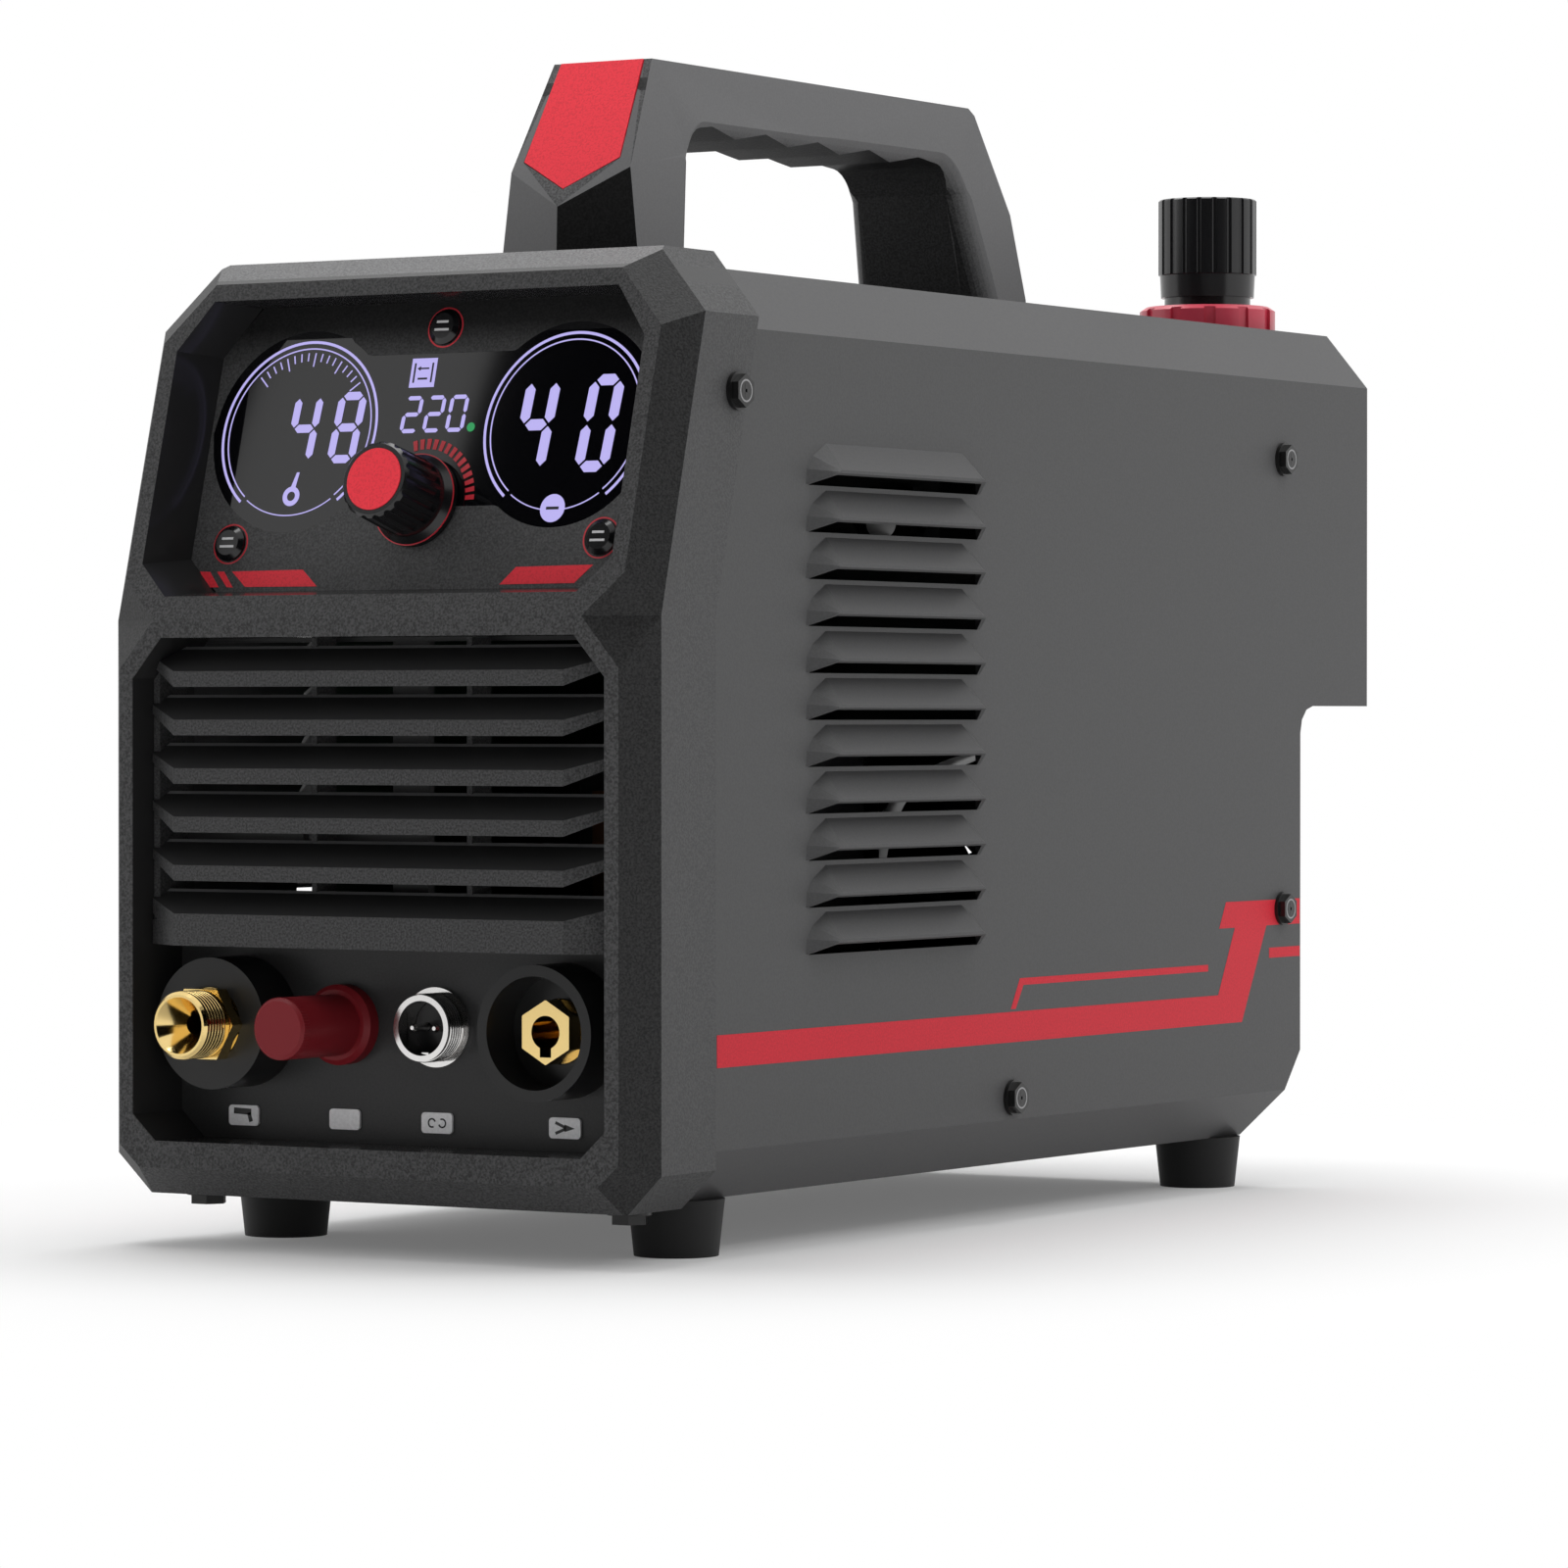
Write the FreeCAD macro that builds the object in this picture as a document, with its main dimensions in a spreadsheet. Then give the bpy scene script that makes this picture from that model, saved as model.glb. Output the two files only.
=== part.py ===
import FreeCAD, Part
import Sketcher
import math
import os
from types import SimpleNamespace
from FreeCAD import Placement, Rotation, Vector

# Plasma cutter unit, in millimetres, with the rear towards +Y and the sockets towards -Y.
# Heights are measured from the floor. Depths are measured from the front rim of the bezel
# while building, and every piece is then moved so that the whole is centred along Y.
# The slanted display face has its own frame: x across, y up the slope from the waist,
# z straight out of the slope.

SIZES = {
    # whole unit
    "reach": 7.9,
    "hood_rear": 381.3,
    "lean": 15,
    # bezel
    "half_width": 79.6,
    "bottom": 12.7,
    "waist": 153.2,
    "bezel_depth": 32,
    "bezel_wall": 2.4,
    "bevel_width": 6.6,
    "bevel_depth": 8.2,
    "rim_band": 4.17,
    "top_bevel": 11.4,
    "top_bevel_rise": 5.7,
    "foot_bevel_depth": 8,
    "foot_bevel_height": 6.8,
    "top_corner_width": 15.6,
    "top_corner_height": 16.4,
    "low_corner_width": 9.7,
    "low_corner_height": 9.5,
    "rim_corner_width": 13.3,
    "rim_corner_drop": 14.2,
    "notch_width": 10.4,
    "notch_low": 12.2,
    "notch_high": 10.24,
    # openings of the bezel
    "window_frame": 10.6,
    "window_corner_width": 8.6,
    "window_corner": 9.9,
    "window_band": 4.4,
    "window_sill": 13.4,
    "display_frame": 10.9,
    "display_corner_width": 9.3,
    "display_low": 5.9,
    "display_top": 81.4,
    "display_depth": 15.5,
    "panel_y": 20,
    # cover
    "cover_inset": 2.6,
    "cover_step": 4,
    "cover_corner_width": 12.8,
    "cover_corner_height": 15.2,
    "cover_lift": 1.1,
    "hem_width": 11,
    "hem_rise": 12.5,
    "sheet": 1.2,
    "tuck": 12,
    "hood_depth": 41.3,
    "hood_low": 132.5,
    "hood_radius": 7.5,
    "louvre_count": 11,
    "louvre_pitch": 11.42,
    "louvre_drop": 26.3,
    "louvre_y": 119.3,
    "louvre_proud": 5.5,
    # front grille and socket panel
    "shelf_rise": 47.75,
    "shelf_front": 7.8,
    "blade_count": 5,
    "blade_height": 3.8,
    "blade_rise": 8.6,
    "blade_lip": 1.3,
    "blade_corner_width": 12,
    "panel_thick": 2.5,
    # sockets: places across are shares of the window's half width
    "torch_share": 0.7203,
    "pilot_share": 0.2797,
    "trigger_share": 0.1159,
    "earth_share": 0.6522,
    "socket_rise": 28.7,
    "torch_thread": 8.2,
    "torch_boss": 16.1,
    "trigger_barrel": 8,
    "earth_bore": 4,
    "pilot_radius": 7.5,
    # display face
    "knob_s": 33.4,
    "knob_radius": 9.6,
    "knob_length": 19,
    "button_radius": 4.4,
    "button_top_drop": 3.7,
    "button_low_rise": 17.7,
    "button_side_inset": 14.1,
    # handle
    "handle_front": 87.2,
    "handle_length": 195.8,
    "handle_height": 57.3,
    "handle_half_low": 22.2,
    "handle_half_top": 16.3,
    "grip_thick": 14.5,
    "handle_leg_front": 21.3,
    "handle_leg_rear": 21.4,
    # regulator
    "regulator_inset": 24.2,
    "regulator_back": 26.7,
    "regulator_radius": 13.8,
    "regulator_height": 38.6,
    "ring_radius": 19.1,
    # base, feet and rear
    "foot_inset": 21.6,
    "foot_front_y": 48.3,
    "foot_rear_back": 25,
    "foot_radius": 10.25,
    "tray_thick": 1.5,
    "rear_recess": 14,
    "rear_thick": 1.4,
    "fan_z": 76,
    "fan_half": 46,
    "fan_bore": 43.5,
}

doc = FreeCAD.newDocument("PlasmaCutter")
sheet = doc.addObject("Spreadsheet::Sheet", "Sizes")
for row, (alias, number) in enumerate(SIZES.items(), start=1):
    sheet.set(f"A{row}", alias.replace("_", " "))
    sheet.set(f"B{row}", str(number))
    sheet.setAlias(f"B{row}", alias)
doc.recompute()


class Length:
    """A number together with the sheet expression that gives it."""

    def __init__(self, value, text):
        self.value = value
        self.text = text

    def __add__(self, other):
        other = as_length(other)
        return Length(self.value + other.value, f"({self.text} + {other.text})")

    def __sub__(self, other):
        other = as_length(other)
        return Length(self.value - other.value, f"({self.text} - {other.text})")

    def __mul__(self, other):
        other = as_length(other)
        return Length(self.value * other.value, f"({self.text} * {other.text})")

    def __truediv__(self, other):
        other = as_length(other)
        return Length(self.value / other.value, f"({self.text} / {other.text})")

    def __neg__(self):
        return as_length(0) - self

    def __rsub__(self, other):
        return as_length(other) - self

    __radd__ = __add__
    __rmul__ = __mul__


def as_length(thing):
    """Numbers become lengths, lengths stay as they are."""
    if isinstance(thing, Length):
        return thing
    return Length(float(thing), f"({float(thing)})")


D = SimpleNamespace(**{name: Length(float(n), f"Sizes.{name}") for name, n in SIZES.items()})
LEAN = math.radians(SIZES["lean"])
TAN = Length(math.tan(LEAN), "tan(Sizes.lean * 1deg)")
COS = Length(math.cos(LEAN), "cos(Sizes.lean * 1deg)")
MIDDLE = (D.hood_rear - D.reach) / 2
SLIM = 0.2
OFFSET_SHARE = 0.414

# places that follow from the sizes
D.rim_top = D.waist + D.display_top * COS + D.rim_band
D.top = D.rim_top + D.top_bevel_rise
D.rim_half = D.half_width - D.bevel_width
D.corner_top_x = D.half_width - D.top_corner_width
D.corner_top_z = D.top - D.top_corner_height
D.corner_low_x = D.half_width - D.low_corner_width
D.corner_low_z = D.bottom + D.low_corner_height
D.rim_corner_x = D.rim_half - D.rim_corner_width
D.notch_x = D.rim_half - D.notch_width
D.window_half = D.half_width - D.window_frame
D.window_end = D.window_half - D.window_corner_width
D.window_top = D.waist - D.window_band
D.window_low = D.bottom + D.window_sill
D.display_half = D.half_width - D.display_frame
D.display_end = D.display_half - D.display_corner_width
D.cover_half = D.half_width - D.cover_inset
D.cover_top = D.top - D.cover_step
D.cover_flat = D.cover_half - D.cover_corner_width
D.cover_corner = D.cover_top - D.cover_corner_height
D.cover_hem_x = D.cover_half - D.hem_width
D.cover_hem_z = D.bottom + D.cover_lift
D.cover_bend = D.cover_hem_z + D.hem_rise
D.body_rear = D.hood_rear - D.hood_depth
D.louvre_top = D.cover_corner - D.louvre_drop
D.socket_z = D.window_low + D.socket_rise
D.torch_x = -(D.window_half * D.torch_share)
D.pilot_x = -(D.window_half * D.pilot_share)
D.trigger_x = D.window_half * D.trigger_share
D.earth_x = D.window_half * D.earth_share
D.button_top_s = D.display_top - D.button_top_drop
D.button_low_s = D.display_low + D.button_low_rise
D.button_side_x = D.display_half - D.button_side_inset
D.handle_rear = D.handle_front + D.handle_length
D.handle_top = D.cover_top + D.handle_height
D.grip_front = D.handle_front + D.handle_leg_front
D.grip_rear = D.handle_rear - D.handle_leg_rear
D.grip_under = D.handle_top - D.grip_thick
D.regulator_x = D.cover_flat - D.regulator_inset
D.regulator_y = D.hood_rear - D.regulator_back
D.regulator_top = D.cover_top + D.regulator_height
D.foot_x = D.half_width - D.foot_inset
D.foot_rear_y = D.body_rear - D.foot_rear_back
D.rear_y = D.body_rear - D.rear_recess


def bind(thing, prop, length):
    thing.setExpression(prop, as_length(length).text)


def move(thing, x, y, z):
    for axis, length in zip("xyz", (x, y, z)):
        bind(thing, f"Placement.Base.{axis}", length)


# sketches
def add_polygon(sketch, points):
    first = len(sketch.Geometry)
    count = len(points)
    spots = [(as_length(a), as_length(b)) for a, b in points]
    for i, (a, b) in enumerate(spots):
        c, d = spots[(i + 1) % count]
        line = Part.LineSegment(Vector(a.value, b.value, 0), Vector(c.value, d.value, 0))
        sketch.addGeometry(line, False)
    for i in range(count):
        join = Sketcher.Constraint("Coincident", first + i, 2, first + (i + 1) % count, 1)
        sketch.addConstraint(join)
    for i, spot in enumerate(spots):
        for kind, length in zip(("DistanceX", "DistanceY"), spot):
            rule = Sketcher.Constraint(kind, -1, 1, first + i, 1, length.value)
            number = sketch.addConstraint(rule)
            sketch.setExpression(f"Constraints[{number}]", length.text)


def add_circle(sketch, x, y, radius):
    x, y, radius = as_length(x), as_length(y), as_length(radius)
    centre = Vector(x.value, y.value, 0)
    which = sketch.addGeometry(Part.Circle(centre, Vector(0, 0, 1), radius.value), False)
    for kind, length in (("DistanceX", x), ("DistanceY", y)):
        number = sketch.addConstraint(Sketcher.Constraint(kind, -1, 1, which, 3, length.value))
        sketch.setExpression(f"Constraints[{number}]", length.text)
    number = sketch.addConstraint(Sketcher.Constraint("Radius", which, radius.value))
    sketch.setExpression(f"Constraints[{number}]", radius.text)


def mirrored(points):
    """A half outline on the +x side, closed by its mirror image."""
    return list(points) + [(-as_length(a), b) for a, b in reversed(points)]


def rounded(points, radius, which=None, steps=3):
    """Turn the corners of an outline, or only those numbered in which, into short arcs."""
    spots = [(as_length(a), as_length(b)) for a, b in points]
    result = []
    for i, here in enumerate(spots):
        if which is not None and i not in which:
            result.append(here)
            continue
        ends = [Vector(spot[0].value - here[0].value, spot[1].value - here[1].value, 0).normalize()
                for spot in (spots[i - 1], spots[(i + 1) % len(spots)])]
        half = ends[0].getAngle(ends[1]) / 2
        centre = (ends[0] + ends[1]).normalize() * (radius / math.sin(half))
        spokes = [end * (radius / math.tan(half)) - centre for end in ends]
        for k in range(steps + 1):
            spoke = spokes[0] * (1 - k / steps) + spokes[1] * (k / steps)
            spot = centre + spoke.normalize() * radius
            result.append((here[0] + spot.x, here[1] + spot.y))
    return result


# PartDesign steps
def origin_part(body, role):
    return next(f for f in body.Origin.OriginFeatures if f.Role == role)


def body_sketch(body, role, polygons=(), circles=(), offset=0):
    sketch = body.newObject("Sketcher::SketchObject", f"{body.Name}_sketch")
    sketch.AttachmentSupport = [(origin_part(body, role), "")]
    sketch.MapMode = "FlatFace"
    bind(sketch, "AttachmentOffset.Base.z", offset)
    for points in polygons:
        add_polygon(sketch, points)
    for circle in circles:
        add_circle(sketch, *circle)
    return sketch


def extrude(body, kind, sketch, length, both=False, back=False, along=None):
    step = body.newObject(f"PartDesign::{kind}", f"{body.Name}_{kind.lower()}")
    step.Profile = sketch
    step.Type = "Length"
    bind(step, "Length", length)
    step.Midplane = both
    step.Reversed = back
    if along:
        step.UseCustomVector = True
        step.AlongSketchNormal = True
        step.Direction = Vector(*(as_length(part).value for part in along))
        for axis, part in zip("xyz", along):
            bind(step, f"Direction.{axis}", part)
    return step


def mirror_steps(body, steps):
    step = body.newObject("PartDesign::Mirrored", f"{body.Name}_mirrored")
    step.Originals = steps
    step.MirrorPlane = (origin_part(body, "YZ_Plane"), [""])
    body.Tip = step
    return step


# Part solids
PLANES = {
    "XY": (Rotation(), Vector(0, 0, 1), "z"),
    "XZ": (Rotation(Vector(1, 0, 0), 90), Vector(0, 1, 0), "y"),
    "YZ": (Rotation(Vector(1, 1, 1), 120), Vector(1, 0, 0), "x"),
}


def flat_sketch(name, plane, offset, polygons=(), circles=()):
    turn, way, axis = PLANES[plane]
    sketch = doc.addObject("Sketcher::SketchObject", f"{name}_outline")
    sketch.Placement = Placement(Vector(), turn)
    bind(sketch, f"Placement.Base.{axis}", offset)
    for points in polygons:
        add_polygon(sketch, points)
    for circle in circles:
        add_circle(sketch, *circle)
    return sketch


def prism(name, plane, low, high, polygons=(), circles=()):
    solid = doc.addObject("Part::Extrusion", name)
    solid.Base = flat_sketch(name, plane, low, polygons, circles)
    solid.DirMode = "Custom"
    solid.Dir = PLANES[plane][1]
    solid.Solid = True
    bind(solid, "LengthFwd", as_length(high) - low)
    return solid


def between(name, plane, *sections):
    """Straight sides from one outline to the next: sections are (offset, points)."""
    solid = doc.addObject("Part::Loft", name)
    solid.Sections = [flat_sketch(name, plane, offset, [points]) for offset, points in sections]
    solid.Solid = True
    solid.Ruled = True
    return group(f"{name}_whole", [solid])


def box(name, xs, ys, zs):
    solid = doc.addObject("Part::Box", name)
    for prop, (low, high) in zip(("Length", "Width", "Height"), (xs, ys, zs)):
        bind(solid, prop, as_length(high) - low)
    move(solid, xs[0], ys[0], zs[0])
    return solid


def rod(name, low, high, radius, x=0, y=0):
    solid = doc.addObject("Part::Cylinder", name)
    bind(solid, "Radius", radius)
    bind(solid, "Height", as_length(high) - low)
    move(solid, x, y, low)
    return solid


def cone(name, low, high, radius_low, radius_high, x=0, y=0):
    solid = doc.addObject("Part::Cone", name)
    bind(solid, "Radius1", radius_low)
    bind(solid, "Radius2", radius_high)
    bind(solid, "Height", as_length(high) - low)
    move(solid, x, y, low)
    return solid


def hexagon(name, low, high, across_flats, x=0, y=0):
    solid = doc.addObject("Part::Prism", name)
    solid.Polygon = 6
    bind(solid, "Circumradius", as_length(across_flats) / math.sqrt(3))
    bind(solid, "Height", as_length(high) - low)
    move(solid, x, y, low)
    return solid


def fuse(name, solids):
    joined = doc.addObject("Part::MultiFuse", name)
    joined.Shapes = list(solids)
    return joined


def common(name, solids):
    shared = doc.addObject("Part::MultiCommon", name)
    shared.Shapes = list(solids)
    return shared


def cut(name, base, tools):
    tool = tools[0] if len(tools) == 1 else fuse(f"{name}_tool", tools)
    result = doc.addObject("Part::Cut", name)
    result.Base = base
    result.Tool = tool
    return result


def group(name, solids):
    bundle = doc.addObject("Part::Compound", name)
    bundle.Links = list(solids)
    return bundle


def turned(name, steps, bores=()):
    """Stacked rounds (low, high, radius or two radii), with bores taken out."""
    def round_of(label, low, high, radius):
        if isinstance(radius, tuple):
            return cone(label, low, high, *radius)
        return rod(label, low, high, radius)

    solids = [round_of(f"{name}_step", *step) for step in steps]
    whole = group(f"{name}_whole", solids) if len(solids) == 1 else fuse(f"{name}_whole", solids)
    if not bores:
        return whole
    return cut(f"{name}_bored", whole, [round_of(f"{name}_bore", *bore) for bore in bores])


# frames: the way that a piece's own z axis looks
FRAMES = {
    "up": Rotation(),
    "front": Rotation(Vector(1, 0, 0), 90),
    "right": Rotation(Vector(0, 1, 0), 90),
    "left": Rotation(Vector(0, 1, 0), -90),
    "lean": Rotation(Vector(1, 0, 0), 75),
    "rear": Rotation(Vector(0, 0, 1), 180) * Rotation(Vector(1, 0, 0), 90),
    "down": Rotation(Vector(1, 0, 0), 180),
}
pieces = []


def stand(thing, frame, x, y, z):
    thing.Placement = Placement(Vector(), FRAMES[frame])
    if frame == "lean":
        thing.setExpression("Placement.Rotation.Angle", "(90 - Sizes.lean) * 1deg")
    move(thing, x, y, z)
    return thing


def piece(name, thing, frame="up", x=0, y=0, z=0):
    """Name a finished sub-part and put it where it belongs."""
    stand(thing, frame, x, as_length(y) - MIDDLE, z)
    thing.Label = name
    pieces.append((name, thing))


def on_slope(name, thing):
    piece(name, thing, "lean", 0, 0, D.waist)


def rim_y(z):
    """Depth of the front rim's plane at a height above the waist."""
    return (z - D.waist) * TAN


# front bezel: outer form
bezel = doc.addObject("PartDesign::Body", "bezel_form")
side = [
    (D.foot_bevel_depth, D.bottom),
    (0, D.bottom + D.foot_bevel_height),
    (0, D.waist),
    (rim_y(D.rim_top), D.rim_top),
    (rim_y(D.rim_top) + D.top_bevel, D.top),
    (D.bezel_depth + rim_y(D.top), D.top),
    (D.bezel_depth, D.waist),
    (D.bezel_depth, D.bottom),
]
extrude(bezel, "Pad", body_sketch(bezel, "YZ_Plane", [side]), D.half_width * 2, both=True)
PAST = 5
corner_top = [
    (D.corner_top_x, D.top),
    (D.half_width, D.corner_top_z),
    (D.half_width + PAST, D.corner_top_z),
    (D.half_width + PAST, D.top + PAST),
    (D.corner_top_x, D.top + PAST),
]
corner_low = [
    (D.corner_low_x, D.bottom),
    (D.corner_low_x, D.bottom - PAST),
    (D.half_width + PAST, D.bottom - PAST),
    (D.half_width + PAST, D.corner_low_z),
    (D.half_width, D.corner_low_z),
]
corners = body_sketch(bezel, "XZ_Plane", [corner_top, corner_low])
steps = [extrude(bezel, "Pocket", corners, D.bezel_depth * 3)]


def wedge_outline(near, far, past=0.3):
    """The ground outside a slanting line in plan, a little past both of its ends."""
    run_x = far[0] - near[0]
    run_y = far[1] - near[1]
    start = (near[0] - run_x * past, near[1] - run_y * past)
    end = (far[0] + run_x * past, far[1] + run_y * past)
    return [start, end, (end[0], start[1])]


rim_edge = (D.rim_half, as_length(0))
side_bevel = wedge_outline(rim_edge, (D.half_width, D.bevel_depth))
low_bevel = body_sketch(bezel, "XY_Plane", [side_bevel])
steps.append(extrude(bezel, "Pocket", low_bevel, D.waist, back=True))
high_bevel = body_sketch(bezel, "XY_Plane", [side_bevel], offset=D.waist)
slope = (0, TAN, 1)
steps.append(extrude(bezel, "Pocket", high_bevel, D.top - D.waist + PAST, along=slope))
notch = wedge_outline((D.notch_x, as_length(0)), (D.half_width, D.bevel_depth))
notch_run = D.rim_half - D.notch_x
for drop, fall in ((D.notch_low, (notch_run, 0, -D.notch_low)),
                   (D.notch_high, (notch_run, D.notch_high * TAN, D.notch_high))):
    plan = body_sketch(bezel, "XY_Plane", [notch], offset=D.waist)
    steps.append(extrude(bezel, "Pocket", plan, drop * 1.3, along=fall))
corner_run = D.rim_half - D.rim_corner_x
top_facet = wedge_outline(
    (D.rim_corner_x, rim_y(D.rim_top)),
    (D.half_width - (D.rim_top - D.corner_top_z) / D.rim_corner_drop * corner_run,
     rim_y(D.rim_top) + D.bevel_depth),
    past=0.8)
plan = body_sketch(bezel, "XY_Plane", [top_facet], offset=D.rim_top)
fall = (corner_run, -(D.rim_corner_drop * TAN), -D.rim_corner_drop)
steps.append(extrude(bezel, "Pocket", plan, D.rim_corner_drop * 3, both=True, along=fall))
LOW_FACET_Z = 25
LOW_FACET_SLANT = 1.09
low_facet = wedge_outline(
    rim_edge,
    (D.half_width + (LOW_FACET_Z - D.corner_low_z) * LOW_FACET_SLANT, D.bevel_depth),
    past=0.8)
plan = body_sketch(bezel, "XY_Plane", [low_facet], offset=LOW_FACET_Z)
steps.append(extrude(bezel, "Pocket", plan, 30, both=True, along=(LOW_FACET_SLANT, 0, 1)))
mirror_steps(bezel, steps)

# front bezel: hollow behind, openings in front
inner_half = D.half_width - D.bezel_wall
ease = D.bezel_wall * OFFSET_SHARE
inner_top = D.top - D.bezel_wall
inner_low = D.bottom + D.bezel_wall
display_back = D.display_depth / COS
STEP_Z = D.waist + 1.8
hollow_side = prism("hollow_side", "YZ", -inner_half, inner_half, [[
    (D.panel_y, inner_low),
    (D.panel_y, STEP_Z),
    (display_back + rim_y(STEP_Z), STEP_Z),
    (display_back + rim_y(inner_top), inner_top),
    (D.bezel_depth * 2 + rim_y(inner_top), inner_top),
    (D.bezel_depth * 2, inner_low),
]])
hollow_front = prism("hollow_front", "XZ", 0, D.bezel_depth * 4, [mirrored([
    (D.corner_low_x - ease, inner_low),
    (inner_half, D.corner_low_z + ease),
    (inner_half, D.corner_top_z - ease),
    (D.corner_top_x - ease, inner_top),
])])
hollow = common("hollow", [hollow_side, hollow_front])
sleeve = D.window_half + D.bezel_wall
GROOVE_FRONT = 11
GROOVE_DROP = 6
groove_low = prism("groove_low", "XZ", GROOVE_FRONT, D.panel_y + 1, [mirrored([
    (D.corner_low_x - ease, inner_low),
    (inner_half, D.corner_low_z + ease),
    (inner_half, D.window_top - GROOVE_DROP),
    (sleeve, D.window_top - GROOVE_DROP),
    (sleeve, D.window_low + D.window_corner - GROOVE_DROP / 2),
    (D.window_end + D.bezel_wall, D.window_low - D.bezel_wall),
])])
wall_rise = D.display_depth * TAN
back_half = D.display_half - 2.8
back_low = D.display_low + wall_rise + 1.6
back_top = D.display_top + wall_rise - 1
high_sleeve = D.display_half + D.bezel_wall
GROOVE_START = 16
GROOVE_SHOULDER = D.display_top - 5.5
GROOVE_TOP = D.display_top + 9.6
groove_outer = [
    (high_sleeve, GROOVE_START),
    (inner_half, GROOVE_START),
    (inner_half, GROOVE_SHOULDER),
    (D.corner_top_x - ease, GROOVE_TOP),
]
groove_inner = [
    (high_sleeve, back_top - 8.5),
    (D.display_end, back_top + D.bezel_wall),
]
groove_high = prism("groove_high", "XY", -D.display_depth - 1, -GROOVE_FRONT - 0.5, [
    mirrored(groove_outer) + [(-a, b) for a, b in groove_inner] + groove_inner[::-1]])
stand(groove_high, "lean", 0, 0, D.waist)
WINDOW_FOOT = (6.8, 6.3)
low_window = prism("low_window", "XZ", -1, D.panel_y + 1, [mirrored([
    (D.window_half - WINDOW_FOOT[0], D.window_low),
    (D.window_half, D.window_low + WINDOW_FOOT[1]),
    (D.window_half, D.window_top - D.window_corner),
    (D.window_end, D.window_top),
])])
# the display opening widens towards the front, and its walls run level, so it drops along the slope
DISPLAY_FOOT = 8.4
DISPLAY_SHOULDER = 12.6


def display_outline(half, low, top):
    return mirrored([
        (half - DISPLAY_FOOT, low),
        (half, low + DISPLAY_FOOT),
        (half, top - DISPLAY_SHOULDER),
        (half - D.display_corner_width, top),
    ])


high_window = between(
    "high_window", "XY",
    (-D.display_depth - 0.5, display_outline(back_half, back_low, back_top)),
    (0, display_outline(D.display_half, D.display_low, D.display_top)))
stand(high_window, "lean", 0, 0, D.waist)
M4_HOLE = 2.25
BEZEL_SCREW_RISE = 53.8
BEZEL_SCREW_BACK = 26.7
bezel_screw_z = D.waist + BEZEL_SCREW_RISE
bezel_screw_y = rim_y(bezel_screw_z) + BEZEL_SCREW_BACK
screw_tool = rod("bezel_screw_hole", -D.half_width - 1, D.half_width + 1, M4_HOLE)
stand(screw_tool, "right", -D.half_width - 1, bezel_screw_y, bezel_screw_z)
FRONT_BOLT_INSET = 17.6
FRONT_BOLT_Y = 21.5
front_bolts_at = [(x, FRONT_BOLT_Y) for x in (FRONT_BOLT_INSET - D.half_width,
                                              D.half_width - FRONT_BOLT_INSET)]
bolt_tools = [rod("bezel_bolt_hole", D.bottom - 1, inner_low + 1, 2.75, x, y)
              for x, y in front_bolts_at]
openings = [hollow, groove_low, groove_high, low_window, high_window, screw_tool] + bolt_tools
piece("front_bezel", cut("front_bezel_cut", bezel, openings))


# front grille: blades that rise to the rear, above a shelf over the sockets
BLADE_FRONT = 0.8
BLADE_BACK = 12.5
BLADE_TURN = 7.9
BLADE_CLEAR = 2.05
SHELF_TO_BLADE = 15.8
SHELF_THICK = 6
SHELF_RISE = 4.4
cheek = D.window_half - SLIM
shelf_low = D.window_low + D.shelf_rise
shelf_top = shelf_low + SHELF_THICK
blade_first = shelf_low + SHELF_TO_BLADE
blade_pitch = ((D.window_top - BLADE_CLEAR - D.blade_lip - D.blade_rise - blade_first)
               / (D.blade_count - 1))
slats = []
for number in range(SIZES["blade_count"]):
    low = blade_first + blade_pitch * number
    slats.append(prism(f"blade_{number}", "YZ", -cheek, cheek, [[
        (BLADE_FRONT, low),
        (BLADE_FRONT, low + D.blade_height),
        (BLADE_BACK, low + D.blade_rise + D.blade_lip),
        (BLADE_BACK, low + D.blade_rise),
    ]]))
shelf_high = shelf_low + D.shelf_front
slats.append(prism("shelf", "YZ", -cheek, cheek, [[
    (BLADE_FRONT, shelf_low),
    (BLADE_FRONT, shelf_high),
    (BLADE_BACK, shelf_high + SHELF_RISE + D.blade_lip),
    (BLADE_BACK, shelf_high + SHELF_RISE),
    (BLADE_BACK / 2, shelf_top),
    (D.panel_y, shelf_top),
    (D.panel_y, shelf_low),
]]))
blade_end = D.window_half - D.blade_corner_width
end_plan = wedge_outline((blade_end, as_length(BLADE_FRONT)), (cheek, as_length(BLADE_TURN)))
end_plan_left = [(-a, b) for a, b in end_plan]
ends = prism("blade_ends", "XY", shelf_low - 1, D.window_top, [end_plan, end_plan_left])
CHEEK_THICK = 1.8
RIB_X = 22.8
RIB_HALF = 0.75
for low_x in (-cheek, cheek - CHEEK_THICK):
    slats.append(box("cheek", (low_x, low_x + CHEEK_THICK), (BLADE_TURN + 0.6, D.panel_y),
                     (shelf_low, D.window_top)))
for x in (-RIB_X, RIB_X):
    slats.append(box("rib", (x - RIB_HALF, x + RIB_HALF), (BLADE_BACK - 0.6, D.panel_y),
                     (shelf_top - 1, D.window_top)))
grille_room = prism("grille_room", "XZ", 0, D.panel_y, [mirrored([
    (cheek, shelf_low - 1),
    (cheek, D.window_top - D.window_corner - SLIM),
    (D.window_end - SLIM, D.window_top - SLIM),
])])
trimmed = common("grille_trimmed", [fuse("grille_whole", slats), grille_room])
piece("front_grille", cut("grille_cut", trimmed, [ends]))

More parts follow.
